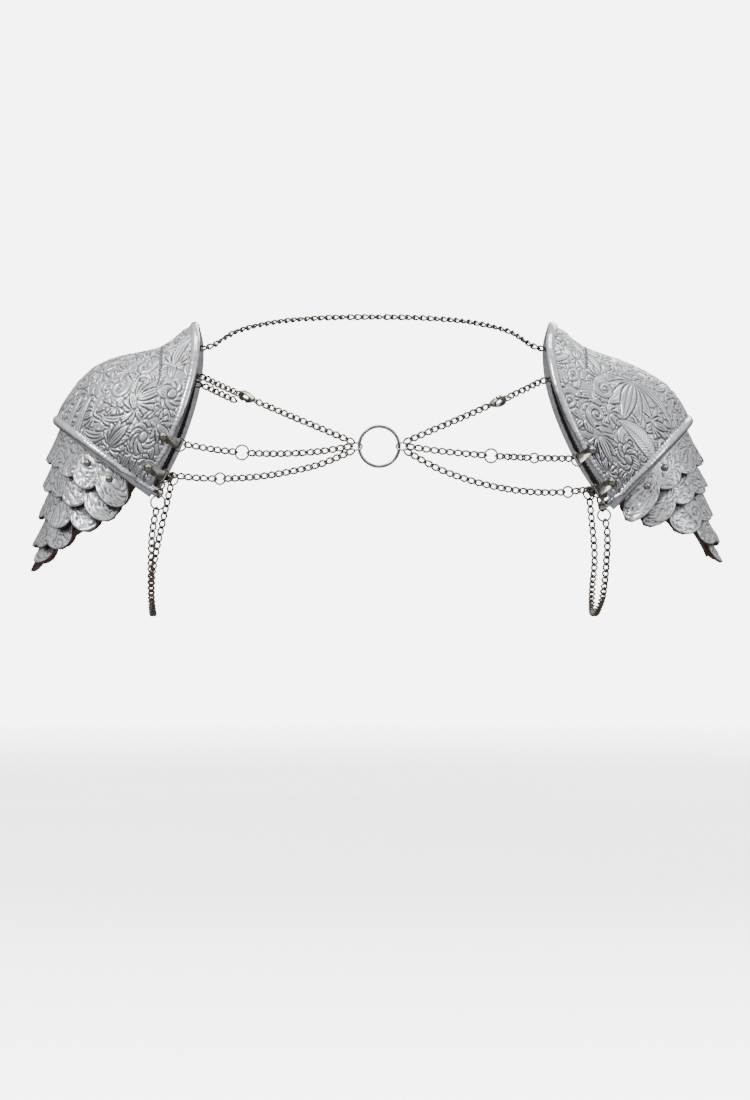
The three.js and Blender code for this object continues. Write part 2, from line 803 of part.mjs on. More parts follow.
function chainTube(points) {
  const curve = new THREE.CatmullRomCurve3(points);
  const section = new THREE.Shape();
  for (let i = 0; i < chainSides; i += 1) {
    const angle = (2 * Math.PI * (i + 0.5)) / chainSides;
    const x = (chainWidth / 2) * Math.cos(angle);
    const y = (chainWidth / 2) * Math.sin(angle);
    if (i === 0) section.moveTo(x, y);
    else section.lineTo(x, y);
  }
  section.closePath();
  const count = Math.max(2, Math.round(curve.getLength() / chainStep));
  return new THREE.ExtrudeGeometry(section, { steps: count, bevelEnabled: false, extrudePath: curve });
}

// Points of a chain between two places, which sags and bows out over the chest.
function draped(start, end, sag, bow) {
  return steps(6, 0, 1).map((t) => {
    const hump = 4 * t * (1 - t);
    const point = start.clone().lerp(end, t);
    point.z -= sag * hump;
    point.y -= bow * hump;
    return point;
  });
}

// Points a share of the way along a route, cut from one share to another.
function stretch(points, from, to) {
  const curve = new THREE.CatmullRomCurve3(points);
  return steps(4, from, to).map((share) => curve.getPointAt(share));
}

// A ring in a chain at a place, facing the way given, fused to the tubes that meet it.
function lineRing(place, radius, facing) {
  const ring = new THREE.TorusGeometry(radius, smallRingWire / 2, wireSides, ringSteps);
  const ringAxis = new THREE.Vector3(0, 0, 1);
  ring.applyQuaternion(new THREE.Quaternion().setFromUnitVectors(ringAxis, facing.clone().normalize()));
  ring.translate(place.x, place.y, place.z);
  return ring;
}

// A chain with rings let into it: tubes that stop in each ring's wire, on opposite sides.
function chainWithRings(points, rings) {
  const curve = new THREE.CatmullRomCurve3(points);
  const length = curve.getLength();
  const parts = [];
  let from = 0;
  for (const { at, radius } of rings) {
    const heading = curve.getTangentAt(at);
    const front = new THREE.Vector3(0, -1, 0);
    front.addScaledVector(heading, -front.dot(heading));
    const gap = (radius - smallRingWire / 4) / length;
    parts.push(lineRing(curve.getPointAt(at), radius, front));
    parts.push(chainTube(stretch(points, from, at - gap)));
    from = at + gap;
  }
  parts.push(chainTube(stretch(points, from, 1)));
  return toGeometry(joined(...parts));
}

// The clasp's flat shape, along its length and across it.
const claspEndCentre = claspLength - claspEyeRadius - claspWall;
const claspRadius = claspEyeRadius + claspWall;
const gateEnd = claspEndCentre - gateLip;
const baseEyeReach = 2 * baseEyeRadius + baseEyeWire / 2;

function slab(shape, thickness) {
  const geometry = new THREE.ExtrudeGeometry(shape, {
    depth: thickness,
    bevelEnabled: false,
    curveSegments: 4,
  });
  return geometry.translate(0, 0, -thickness / 2);
}

function polygon(corners) {
  return new THREE.Shape(corners.map(([along, across]) => new THREE.Vector2(along, across)));
}

function disc(radius, along, across, thickness) {
  const cylinder = new THREE.CylinderGeometry(radius, radius, thickness, 10);
  return cylinder.rotateX(Math.PI / 2).translate(along, across, 0);
}

// The claw of a lobster clasp: an eye with a gate in one side, cheeks and a pin for the lever.
function claspBody() {
  const outline = new THREE.Shape();
  const back = clawBack.map(({ along, half }) => [claspLength * along, -claspRadius * half]);
  outline.moveTo(...back[0]);
  back.slice(1).forEach((corner) => outline.lineTo(...corner));
  outline.absarc(claspEndCentre, 0, claspRadius, -Math.PI / 2, Math.PI / 2, false);
  outline.lineTo(pivotAlong, pivotAcross + leverRootRadius + clearance);
  outline.lineTo(pivotAlong - leverRootRadius, pivotAcross + leverRootRadius);
  outline.lineTo(0, -back[0][1]);
  const eye = new THREE.Shape();
  eye.absarc(claspEndCentre, 0, claspEyeRadius, -Math.PI / 2, Math.PI / 2, false);
  const eyeStart = pivotAlong + claspEyeRadius + eyeWall;
  eye.absarc(eyeStart, 0, claspEyeRadius, Math.PI / 2, (3 * Math.PI) / 2, false);
  const top = 2 * claspRadius;
  const gateStart = pivotAlong + leverRootRadius + gateWall;
  const gate = polygon([
    [gateStart, gateFloor],
    [gateEnd, gateFloor],
    [gateEnd, top],
    [gateStart, top],
  ]);
  const leverSlot = polygon([
    [pivotAlong, gateFloor],
    [gateEnd, gateFloor],
    [gateEnd, top],
    [pivotAlong - leverRootRadius, top],
    [pivotAlong - leverRootRadius, pivotAcross],
  ]);
  const cut = claspThickness * 2;
  const slotWidth = leverThickness + 2 * clearance;
  const pocket = disc(leverRootRadius + clearance, pivotAlong, pivotAcross, slotWidth);
  const baseEye = new THREE.TorusGeometry(baseEyeRadius, baseEyeWire / 2, wireSides, ringSteps);
  baseEye.translate(-baseEyeRadius, 0, 0);
  return toSolid(slab(outline, claspThickness))
    .subtract(toSolid(slab(eye, cut)))
    .subtract(toSolid(slab(gate, cut)))
    .subtract(toSolid(slab(leverSlot, slotWidth)))
    .subtract(toSolid(pocket))
    .add(toSolid(disc(pinRadius, pivotAlong, pivotAcross, claspThickness - clearance)))
    .add(toSolid(baseEye));
}

// The sprung lever that closes the gate, with its thumb nub, round the pin.
function claspLever() {
  const tip = gateEnd - leverPlay;
  const nubEnd = tip - nubSetback;
  const nubStart = nubEnd - nubLength;
  const arm = polygon([
    [pivotAlong + pinRadius, pivotAcross - leverRootRadius / 2],
    [tip, claspEyeRadius - clearance],
    [tip, claspRadius - clearance],
    [nubEnd, claspRadius - clearance],
    [nubEnd, claspRadius + nubHeight],
    [nubStart, claspRadius + nubHeight],
    [nubStart, claspRadius - nubHeight],
    [pivotAlong, pivotAcross + leverRootRadius],
  ]);
  return toSolid(slab(arm, leverThickness))
    .add(toSolid(disc(leverRootRadius, pivotAlong, pivotAcross, leverThickness)))
    .subtract(toSolid(disc(pinRadius + clearance, pivotAlong, pivotAcross, leverThickness * 2)));
}

// A matrix for a clasp that starts at a place and points along a heading, turned about it.
function claspMatrix(start, heading, rollDeg) {
  const along = heading.clone().normalize();
  const front = new THREE.Vector3(0, -1, 0);
  front.addScaledVector(along, -front.dot(along)).normalize();
  front.applyAxisAngle(along, THREE.MathUtils.degToRad(rollDeg));
  const across = new THREE.Vector3().crossVectors(front, along);
  return new THREE.Matrix4().makeBasis(along, across, front).setPosition(start);
}

// The centre of the chest: one big ring with a joining ring through it on each side.
const centre = new THREE.Vector3(centreRingX, centreRingY, centreRingZ);
const bigRing = new THREE.TorusGeometry(centreRingRadius, centreRingWire / 2, wireSides + 1, 2 * ringSteps);
bigRing.rotateX(Math.PI / 2);
bigRing.translate(centre.x, centre.y, centre.z);
addPiece("centre_ring", bigRing, warmNickel);

const joiningOffset = centreRingRadius + smallRingRadius - smallRingWire / 2 - centreRingWire / 2 - clearance;

// Where a strand leaves the joining ring, and its bow.
function strandFrom(side, name) {
  const { rise, forward, bow } = strandLayout.find((row) => row.name === name);
  const beside = joiningOffset + smallRingRadius + smallRingWire / 2 + clearance;
  const start = new THREE.Vector3(centre.x + side.sign * beside, centre.y - forward, centre.z + rise);
  return { start, bow };
}

const backEnds = [];
for (const side of sides) {
  const { name } = side;
  addPiece(`cap_${name}`, capShell(side), silverLeather);
  addPiece(`collar_binding_${name}`, bindingStrip(side, 0), mirrorLeather);
  addPiece(`hem_binding_${name}`, bindingStrip(side, 1), mirrorLeather);
  addPiece(`wing_backing_${name}`, wingBacking(side), darkLeather);
  side.rows.forEach((_, i) => {
    addPiece(`scale_row_${name}_${i + 1}`, scaleRow(side, i), silverLeather);
  });

  const middleFrame = edgeFrame(side, turnAtShare(side, side.middleClip), 0);
  const lowerFrame = edgeFrame(side, turnAtShare(side, side.lowerClip), 0);
  const backFrame = toBack(lowerFrame);
  const frontHook = hookFrame(side, turnAtShare(side, frontHookAt));
  const backHook = toBack(hookFrame(side, turnAtShare(side, backHookAt)));
  const clips = { middle: middleFrame, lower: lowerFrame, back: backFrame };
  for (const [place, frame] of Object.entries(clips)) {
    addPiece(`ring_clip_${name}_${place}`, edgeClip(side, frame), darkNickel);
    addPiece(`edge_ring_${name}_${place}`, edgeRing(side, frame), warmNickel);
  }
  addPiece(`collar_hook_${name}_front`, collarHook(side, frontHook), darkNickel);
  addPiece(`collar_hook_${name}_back`, collarHook(side, backHook), darkNickel);

  wingRivets.forEach(({ turn, drop }, i) => {
    addPiece(`wing_rivet_${name}_${i + 1}`, wingRivet(side, turn, drop), darkNickel);
  });

  const joining = new THREE.TorusGeometry(smallRingRadius, smallRingWire / 2, wireSides, ringSteps);
  joining.rotateX(THREE.MathUtils.degToRad(joiningTiltDeg));
  joining.translate(centre.x + side.sign * joiningOffset, centre.y, centre.z);
  addPiece(`joining_ring_${name}`, joining, warmNickel);

  const middle = strandFrom(side, "middle");
  const middleEnd = edgeRingPoint(side, middleFrame, middle.start);
  const middlePoints = draped(middle.start, middleEnd, side.middleSag, middle.bow);
  addPiece(`chain_${name}_middle`, chainWithRings(middlePoints, side.middleRings), warmNickel);
  const lower = strandFrom(side, "lower");
  const lowerEnd = edgeRingPoint(side, lowerFrame, lower.start);
  const lowerPoints = draped(lower.start, lowerEnd, side.lowerSag, lower.bow);
  addPiece(`chain_${name}_lower`, chainWithRings(lowerPoints, side.lowerRings), warmNickel);

  const underArmPoints = underArmRoute.map((row) => new THREE.Vector3(side.sign * row[name], row.y, row.z));
  const underArmStart = edgeRingPoint(side, lowerFrame, underArmPoints[0]);
  const underArmEnd = edgeRingPoint(side, backFrame, underArmPoints[underArmPoints.length - 1]);
  const underArm = [underArmStart, ...underArmPoints, underArmEnd];
  addPiece(`chain_${name}_under_arm`, chainWithRings(underArm, side.underArmRings), warmNickel);

  const exit = collarExit(side, frontHook);
  const upper = strandFrom(side, "upper");
  const upperPoints = draped(upper.start, exit.pass, upperSag, upper.bow);
  const upperCurve = new THREE.CatmullRomCurve3(upperPoints);
  const heading = upperCurve.getTangentAt(side.claspAt);
  const claspStart = upperCurve.getPointAt(side.claspAt);
  const claspPlace = claspMatrix(claspStart, heading, side.sign * claspRollDeg);
  const claspBack = (baseEyeReach + clearance) / upperCurve.getLength();
  addPiece(`chain_${name}_upper`, chainTube(stretch(upperPoints, 0, side.claspAt - claspBack)), warmNickel);
  addPiece(`clasp_body_${name}`, toGeometry(claspBody()).applyMatrix4(claspPlace), warmNickel);
  addPiece(`clasp_lever_${name}`, toGeometry(claspLever()).applyMatrix4(claspPlace), warmNickel);

  const ringBow = claspRingRadius - Math.sqrt(claspRingRadius ** 2 - (claspThickness / 2) ** 2);
  const wireAt = claspEndCentre + claspEyeRadius - smallRingWire / 2 - clearance - ringBow;
  const ringCentre = new THREE.Vector3(wireAt + claspRingRadius, 0, 0).applyMatrix4(claspPlace);
  const ringFacing = new THREE.Vector3(0, 1, 0).transformDirection(claspPlace);
  const collarStart = ringCentre.clone().addScaledVector(heading, claspRingRadius - smallRingWire / 4);
  const middleOfCollarChain = collarStart.clone().lerp(exit.pass, 0.5);
  const collarPoints = [collarStart, middleOfCollarChain, exit.pass, exit.hook];
  const collarChain = joined(lineRing(ringCentre, claspRingRadius, ringFacing), chainTube(collarPoints));
  addPiece(`chain_${name}_collar`, toGeometry(collarChain), warmNickel);
  if (side.tail) {
    const aside = new THREE.Vector3(0, 0, -(chainWidth + tailGap));
    const tailPoints = collarPoints.map((point) => point.clone().add(aside));
    addPiece(`chain_${name}_tail`, chainTube(tailPoints), warmNickel);
  }
  const backExit = collarExit(side, backHook);
  backEnds.push([backExit.hook, backExit.pass]);
}

const backPoints = backChainRoute.map(({ x, y, z }) => new THREE.Vector3(x, y, z));
addPiece("chain_back", chainTube([...backEnds[0], ...backPoints, ...backEnds[1].reverse()]), warmNickel);

export default pauldrons;
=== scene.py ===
import json
import math

import bpy
import numpy as np
from mathutils import Matrix, Vector

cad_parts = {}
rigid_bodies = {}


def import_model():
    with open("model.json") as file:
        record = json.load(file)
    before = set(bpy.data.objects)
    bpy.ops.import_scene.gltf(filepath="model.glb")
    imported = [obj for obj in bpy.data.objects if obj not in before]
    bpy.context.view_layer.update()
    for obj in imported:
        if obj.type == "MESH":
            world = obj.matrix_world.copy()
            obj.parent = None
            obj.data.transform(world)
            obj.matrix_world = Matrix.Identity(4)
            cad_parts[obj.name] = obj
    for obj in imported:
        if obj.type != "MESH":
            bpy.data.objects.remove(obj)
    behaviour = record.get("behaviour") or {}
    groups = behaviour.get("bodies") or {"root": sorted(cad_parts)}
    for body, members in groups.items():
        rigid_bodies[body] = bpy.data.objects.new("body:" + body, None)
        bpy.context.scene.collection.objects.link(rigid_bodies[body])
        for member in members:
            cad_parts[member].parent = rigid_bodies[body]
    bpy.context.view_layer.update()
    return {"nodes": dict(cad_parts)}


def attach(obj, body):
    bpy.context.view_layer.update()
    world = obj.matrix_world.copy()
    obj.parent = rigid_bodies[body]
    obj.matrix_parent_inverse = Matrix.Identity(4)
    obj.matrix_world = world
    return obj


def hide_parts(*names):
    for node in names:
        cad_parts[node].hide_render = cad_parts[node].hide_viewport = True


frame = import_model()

# A pair of embossed silver leather shoulder pauldrons joined by chains, worn as in the photo.
# Lengths are in millimetres until a mesh is made, and left and right are as seen from the front.
MM = 0.001

# Leather and bound edges
CAP_LEATHER = 2.0
BACKING_LEATHER = 1.6
SCALE_LEATHER = 2.0
CLEARANCE = 0.3
BINDING_SKIN = 1.0
BINDING_PLAY = 0.75
BINDING_DEPTH = 5.0
BINDING_OVERRUN = 2.0

# Cap: a saddle between the collar arch and the hem arch
COLLAR_X = 124.5
COLLAR_TOP_Z = 22.5
HEM_X = 228.0
HEM_Z = -48.5
CAP_HALF_DEPTH = 62.0
CORNER_MARGIN = 2.2
COLLAR_FLARE_ENDS = math.radians(42)

# Wing of scales under each hem
HEM_TO_WING = 6.1
WING_TUCK = 6.0
ROW_OVERLAP = 10.0
BACKING_SHORTER_BY = 9.0

# Metal fittings
CLIP_WIDTH = 6.6
CLIP_PLATE = 1.0
CLIP_REACH = 8.6
CLIP_PAD = 3.4
RIVET_RADIUS = 2.5
RIVET_HEIGHT = 1.7
WING_RIVET_RADIUS = 3.0
RIVET_FLANGE = 0.8
SHANK_RADIUS = 1.3
EDGE_RING_RADIUS = 4.7
EDGE_RING_WIRE = 1.5
HOOK_PLATE = 8.0
HOOK_PLATE_THICKNESS = 1.2
HOOK_PLATE_GAP = 1.6
PASS_DEPTH = 5.5
HOOK_EYE_RADIUS = 3.1
HOOK_WIRE = 1.5
CENTRE = np.array([4.3, -92.0, -67.4])
CENTRE_RING_RADIUS = 14.0
CENTRE_RING_WIRE = 2.3
SMALL_RING_RADIUS = 4.0
SMALL_RING_WIRE = 1.3
JOINING_TILT = math.radians(40)

# Curb chain: pitch, outer width and wire of its links
LINK_PITCH = 5.4
LINK_WIDTH = 5.4
LINK_WIRE = 1.5
LINK_PLAY = 0.1
LINK_LENGTH = LINK_PITCH + 2 * LINK_WIRE + LINK_PLAY
LINK_TWIST = math.radians(112)
LINK_ROLL = 0.3
CHAIN_WIDTH = 5.4

# Lobster clasps
CLASP_LENGTH = 12.9
CLASP_EYE_RADIUS = 2.1
CLASP_WALL = 1.5
CLASP_THICKNESS = 3.6
BASE_EYE_RADIUS = 1.7
CLASP_ROLL = math.radians(35)
CLASP_RING_RADIUS = 3.6
TAIL_GAP = 0.5

# How a cap's collar edge leans out as it comes down, as shares of its height and of its spread
COLLAR_LEAN = [
    (0, 0.06), (0.12, 0), (0.3, 0.05), (0.45, 0.17), (0.6, 0.34), (0.75, 0.55), (0.88, 0.78), (1, 1),
]

# Section of a cap from collar to hem, as shares of its width
SECTION = [0, 0.08, 0.17, 0.26, 0.36, 0.48, 0.6, 0.72, 0.82, 0.92, 1]
CROWN = {
    "left": [0, 0.01, 0.001, 0.008, 0.048, 0.1, 0.13, 0.123, 0.094, 0.052, 0],
    "right": [0, 0.008, -0.002, 0.002, 0.03, 0.065, 0.088, 0.1, 0.085, 0.044, 0],
}
FLANK = [0, 0.03, 0.056, 0.076, 0.092, 0.104, 0.106, 0.095, 0.073, 0.036, 0]

SIDES = [
    {
        "name": "left",
        "sign": -1,
        "corner_x": 160.0,
        "corner_z": -99.0,
        "wing_length": 107.0,
        "wing_lean": 0.13,
        # turn round the arm in degrees and how far the wing hangs there, as a share of its length
        "outline": [
            (0, 1), (12, 0.95), (28, 0.82), (40, 0.7), (52, 0.55), (62, 0.42), (70, 0.3), (77, 0.14),
        ],
        # tip of a row as a share of the wing, where the row ends in degrees, and its scales
        "rows": [(0.27, 76, 11), (0.45, 70, 10), (0.64, 57, 9), (0.83, 39, 6), (1, 22, 3)],
        "middle_clip": 0.705,
        "lower_clip": 0.885,
        "clasp_at": 0.62,
        "middle_sag": 5.5,
        "lower_sag": 8.0,
        # rings let into each chain: share of the way along, and radius
        "middle_rings": [(0.65, 5.1)],
        "lower_rings": [(0.73, 4.0)],
        "under_arm_rings": [(0.05, 5.1)],
        "dart_x": 150.8,
        "dart_end_z": -17.0,
    },
    {
        "name": "right",
        "sign": 1,
        "corner_x": 171.5,
        "corner_z": -107.5,
        "wing_length": 105.0,
        "wing_lean": 0.2,
        "outline": [
            (0, 1), (10, 0.91), (20, 0.78), (32, 0.68), (44, 0.6), (55, 0.47), (66, 0.34), (75, 0.24),
            (82, 0.15),
        ],
        "rows": [(0.27, 81, 9), (0.45, 68, 8), (0.64, 48, 6), (0.83, 25, 4), (1, 12, 2)],
        "middle_clip": 0.735,
        "lower_clip": 0.905,
        "clasp_at": 0.57,
        "middle_sag": 2.0,
        "lower_sag": 11.0,
        "middle_rings": [(0.5, 4.8), (0.77, 3.4)],
        "lower_rings": [(0.88, 3.8)],
        "under_arm_rings": [(0.05, 4.5)],
        "dart_x": 151.8,
        "dart_end_z": -11.0,
    },
]
FRONT_HOOK_AT = 0.28
BACK_HOOK_AT = 0.075

# Rivets that hold each wing's first row: turn in degrees and drop below the hem
WING_RIVETS = [(-51, 11.0), (-66.5, 10.5)]

# Chosen points of the chains under the arms, y, z and how far out on the left and right, and over the back
UNDER_ARM = [
    (-70, -126, 155, 164.6),
    (-63, -148, 156.5, 164.4),
    (-45, -171, 157.5, 163),
    (-20, -183, 158, 160.5),
    (2, -186, 158.5, 159),
    (26, -182, 160, 159),
    (49, -167, 162, 160.5),
    (65, -146, 160.5, 163),
]
BACK_CHAIN = [
    (-100, 33, 19), (-72, 50, 27), (-38, 66, 31), (0, 71, 32), (38, 66, 31), (72, 50, 27), (100, 33, 19),
]

# Strands from the joining rings: rise and forward reach of their start, and bow over the chest
STRANDS = {"upper": (4.6, 0, 8), "middle": (-0.6, 2.4, 5), "lower": (-5.8, 0, 4)}
UPPER_SAG = 1.0
# Angle from level, in radians, at which the upper and lower strands leave their joining ring
STRAND_FAN = 0.9
ARM_CENTRE_Z = -115.0

FRONT = np.array([0.0, -1.0, 0.0])
UP = np.array([0.0, 0.0, 1.0])


def unit(v):
    return v / np.linalg.norm(v, axis=-1, keepdims=True)


def squared(v, axis):
    """The direction nearest to another that is square to an axis."""
    return unit(v - axis * np.sum(v * axis, -1, keepdims=True))


def smoothstep(x, low, high):
    t = np.clip((x - low) / (high - low), 0, 1)
    return t * t * (3 - 2 * t)


def run_along(line):
    """The distance run at each point of a line."""
    return np.concatenate([[0], np.cumsum(np.linalg.norm(np.diff(line, axis=0), axis=1))])


def at_run(run, line, distance):
    """The places on a line at distances run along it."""
    return np.stack([np.interp(distance, run, line[:, k]) for k in range(3)], -1)


def curve_through(rows):
    """A smooth curve through pairs of numbers, held level beyond its ends."""
    keys = np.array([row[0] for row in rows], float)
    values = np.array([row[1] for row in rows], float)
    before = np.maximum(np.arange(len(rows)) - 1, 0)
    after = np.minimum(np.arange(len(rows)) + 1, len(rows) - 1)
    slopes = (values[after] - values[before]) / (keys[after] - keys[before])

    def at(x):
        x = np.asarray(x, float)
        i = np.searchsorted(keys[1:-1], x, side="left")
        width = keys[i + 1] - keys[i]
        t = np.clip((x - keys[i]) / width, 0, 1)
        rising = t * t * (3 - 2 * t)
        leaving = t * (1 - t) ** 2 * width * slopes[i]
        arriving = t * t * (1 - t) * width * slopes[i + 1]
        return values[i] * (1 - rising) + values[i + 1] * rising + leaving - arriving

    return at


lean_at = curve_through(COLLAR_LEAN)
flank_rise = curve_through(list(zip(SECTION, FLANK)))
crown_rise = {name: curve_through(list(zip(SECTION, rises))) for name, rises in CROWN.items()}


def on_side(side, points):
    """Mirrors points of the right-hand form onto a side."""
    return points * np.array([side["sign"], 1.0, 1.0])


def collar_point(side, turn):
    height = COLLAR_TOP_Z - side["corner_z"]
    reach = 1 - (BINDING_DEPTH + CORNER_MARGIN) / height
    down = (1 - np.cos(turn)) * reach
    x = COLLAR_X + lean_at(down) * (side["corner_x"] - COLLAR_X)
    return np.stack([x, CAP_HALF_DEPTH * np.sin(turn), COLLAR_TOP_Z - down * height], -1)


def hem_point(side, turn):
    reach = 1 - np.cos(turn)
    x = HEM_X - reach * (HEM_X - side["corner_x"])
    return np.stack([x, CAP_HALF_DEPTH * np.sin(turn), HEM_Z - reach * (HEM_Z - side["corner_z"])], -1)


def cap_point(side, turn, along):
    """The middle of a cap's leather, for a turn from front to back and a share from collar to hem."""
    turn, along = np.broadcast_arrays(np.asarray(turn, float), np.asarray(along, float))
    collar = collar_point(side, turn)
    chord = hem_point(side, turn) - collar
    width = np.linalg.norm(chord, axis=-1, keepdims=True)
    over = -unit(np.array([HEM_Z - COLLAR_TOP_Z, 0, COLLAR_X - HEM_X]))
    outward = over * np.cos(turn)[..., None]
    outward[..., 1] = np.sin(turn)
    direction = chord / width
    outward = squared(outward, direction)
    flank = smoothstep(np.abs(turn), 0, COLLAR_FLARE_ENDS)
    rise = crown_rise[side["name"]](along) * (1 - flank) + flank_rise(along) * flank
    return collar + chord * along[..., None] + outward * rise[..., None] * width


def solve(crossing, low, high):
    """Where a rising or falling function crosses zero, for arrays of bounds."""
    rising = crossing(high) > crossing(low)
    for _ in range(24):
        middle = (low + high) / 2
        beyond = (crossing(middle) > 0) == rising
        high = np.where(beyond, middle, high)
        low = np.where(beyond, low, middle)
    return (low + high) / 2


def across_from_edge(side, turn, edge, point, along_edge, distance):
    """The point of a cap's face straight in from a long edge, at a distance from it."""
    quarter = math.pi / 2
    low = np.maximum(turn - quarter / 2, -quarter)
    high = np.minimum(turn + quarter / 2, quarter)

    def face_at(share):
        along = share if edge < 0.5 else 1 - share

        def offset(at):
            return np.sum((cap_point(side, at, along) - point) * along_edge, -1)

        return cap_point(side, solve(offset, low, high), along)

    def beyond(share):
        return np.linalg.norm(face_at(share) - point, axis=-1) - distance

    return face_at(solve(beyond, np.zeros_like(turn), np.full_like(turn, 0.9)))


def edge_frame(side, turn, edge):
    """Places on a long edge of a cap: the edge, along it, into the leather and out of its face."""
    turn = np.atleast_1d(np.asarray(turn, float))
    edge_at = collar_point if edge < 0.5 else hem_point
    point = edge_at(side, turn)
    along_edge = unit(edge_at(side, turn + 0.01) - edge_at(side, turn - 0.01))
    further = across_from_edge(side, turn, edge, point, along_edge, BINDING_DEPTH)
    inward = squared(further - point, along_edge)
    out = np.cross(along_edge, inward) * (-1 if edge < 0.5 else 1)
    return {"point": point, "along": along_edge, "inward": inward, "out": out}


def one(frame_rows):
    """The first place of a row of them."""
    return {key: rows[0] for key, rows in frame_rows.items()}


def to_back(place):
    return {key: value * np.array([1, -1, 1]) for key, value in place.items()}


def turn_at_share(side, share):
    reach = 1 - (BINDING_DEPTH + CORNER_MARGIN) / (COLLAR_TOP_Z - side["corner_z"])
    return -math.acos(1 - share / reach)


def placement(x, y, z, origin):
    """The matrix that lays a shape's axes along three directions from a place."""
    matrix = np.eye(4)
    matrix[:3] = np.stack([x, y, z, origin], -1)
    return matrix


def fitting_matrix(side, place):
    """Lays a fitting on an edge: X into the leather, Y out of its face, Z along the edge."""
    into, out = on_side(side, place["inward"]), on_side(side, place["out"])
    return placement(into, out, np.cross(into, out), on_side(side, place["point"]))


def moved(matrix, point):
    return matrix[:3, :3] @ np.asarray(point, float) + matrix[:3, 3]


def wing_out(side, turn):
    reach = HEM_X - side["corner_x"]
    return unit(np.stack([CAP_HALF_DEPTH * np.cos(turn), reach * np.sin(turn), 0 * turn], -1))


def wing_point(side, turn, drop, lift):
    """A point of a wing: its drop below the hem and its lift out from the backing's face."""
    turn, drop, lift = np.broadcast_arrays(np.asarray(turn, float), drop, lift)
    reach = lift - HEM_TO_WING + drop * side["wing_lean"] * np.cos(turn)
    return hem_point(side, turn) + wing_out(side, turn) * reach[..., None] - UP * drop[..., None]


def row_layout(side):
    tips = [row[0] * side["wing_length"] for row in side["rows"]]
    roots = [0.0] + [tip - ROW_OVERLAP for tip in tips[:-1]]
    tilt = (SCALE_LEATHER + CLEARANCE) / min(np.diff(roots))
    return tips, roots, tilt


# Colours and node materials


def colour(hex_code):
    """An sRGB hex value as linear colour."""
    channels = [int(hex_code[i : i + 2], 16) / 255 for i in (1, 3, 5)]
    linear = [c / 12.92 if c <= 0.04045 else ((c + 0.055) / 1.055) ** 2.4 for c in channels]
    return (*linear, 1.0)


def node(tree, kind, settings=None, links=None):
    """Adds a node, sets its properties and sockets by name, and links its inputs."""
    made = tree.nodes.new(kind)
    for key, value in (settings or {}).items():
        if key in made.inputs:
            made.inputs[key].default_value = value
        else:
            setattr(made, key, value)
    for key, source in (links or {}).items():
        tree.links.new(source, made.inputs[key])
    return made


def ramp(tree, source, stops):
    """A colour ramp from pairs of a position and a hex colour or linear colour."""
    made = node(tree, "ShaderNodeValToRGB", links={"Fac": source})
    elements = made.color_ramp.elements
    while len(elements) < len(stops):
        elements.new(0.5)
    for element, (position, tone) in zip(elements, stops):
        element.position = position
        element.color = colour(tone) if isinstance(tone, str) else tone
    return made


def grey(value):
    return (value, value, value, 1.0)


def new_material(name, roughness, metallic):
    made = bpy.data.materials.new(name)
    made.use_nodes = True
    tree = made.node_tree
    shader = tree.nodes["Principled BSDF"]
    shader.inputs["Roughness"].default_value = roughness
    shader.inputs["Metallic"].default_value = metallic
    coordinates = node(tree, "ShaderNodeTexCoord").outputs["Object"]
    return made, tree, shader, coordinates


def noise(tree, coordinates, millimetres, detail=3.0, roughness=0.55):
    """A noise whose blotches are about the given size."""
    settings = {"Scale": 1 / (millimetres * MM), "Detail": detail, "Roughness": roughness}
    return node(tree, "ShaderNodeTexNoise", settings, {"Vector": coordinates}).outputs["Fac"]


def bump(tree, shader, height, millimetres, strength):
    settings = {"Strength": strength, "Distance": millimetres * MM}
    made = node(tree, "ShaderNodeBump", settings, {"Height": height})
    tree.links.new(made.outputs["Normal"], shader.inputs["Normal"])


def mixed(tree, factor, first, second, blend_type="MIX"):
    made = node(tree, "ShaderNodeMix", {"data_type": "RGBA", "blend_type": blend_type})
    for socket, source in ((0, factor), (6, first), (7, second)):
        if isinstance(source, (int, float, tuple)):
            made.inputs[socket].default_value = source
        else:
            tree.links.new(source, made.inputs[socket])
    return made.outputs[2]


FOIL_ROUGHNESS = 0.25
FOIL_TINTS = [(0.3, "#dcdde6"), (0.45, "#e4e3e6"), (0.58, "#dfe5e2"), (0.72, "#e6dfe2")]


def tooled_foil():
    made, tree, shader, coordinates = new_material("foiled_embossed_cowhide", FOIL_ROUGHNESS, 0.94)
    cavity = node(tree, "ShaderNodeAttribute", {"attribute_name": "cavity"}).outputs["Fac"]
    blotch = noise(tree, coordinates, 9, 4)
    tints = ramp(tree, noise(tree, coordinates, 14, 2), FOIL_TINTS)
    faded = mixed(tree, blotch, colour("#bfc1c7"), tints.outputs["Color"])
    # The cavity attribute greys the cuts, and on the scales it also carries painted shade below the row
    # above
    tree.links.new(mixed(tree, cavity, faded, colour("#3b3c43")), shader.inputs["Base Color"])
    # Foil rubs duller in the cuts and on worn blotches
    limits = {"To Min": FOIL_ROUGHNESS - 0.08, "To Max": FOIL_ROUGHNESS + 0.1}
    spread = node(tree, "ShaderNodeMapRange", limits, {"Value": blotch})
    worn = node(
        tree, "ShaderNodeMath", {"operation": "MULTIPLY_ADD"}, {0: cavity, 2: spread.outputs["Result"]}
    )
    worn.inputs[1].default_value = 0.3
    tree.links.new(worn.outputs["Value"], shader.inputs["Roughness"])
    bump(tree, shader, noise(tree, coordinates, 0.5, 3), 0.12, 0.35)
    return made


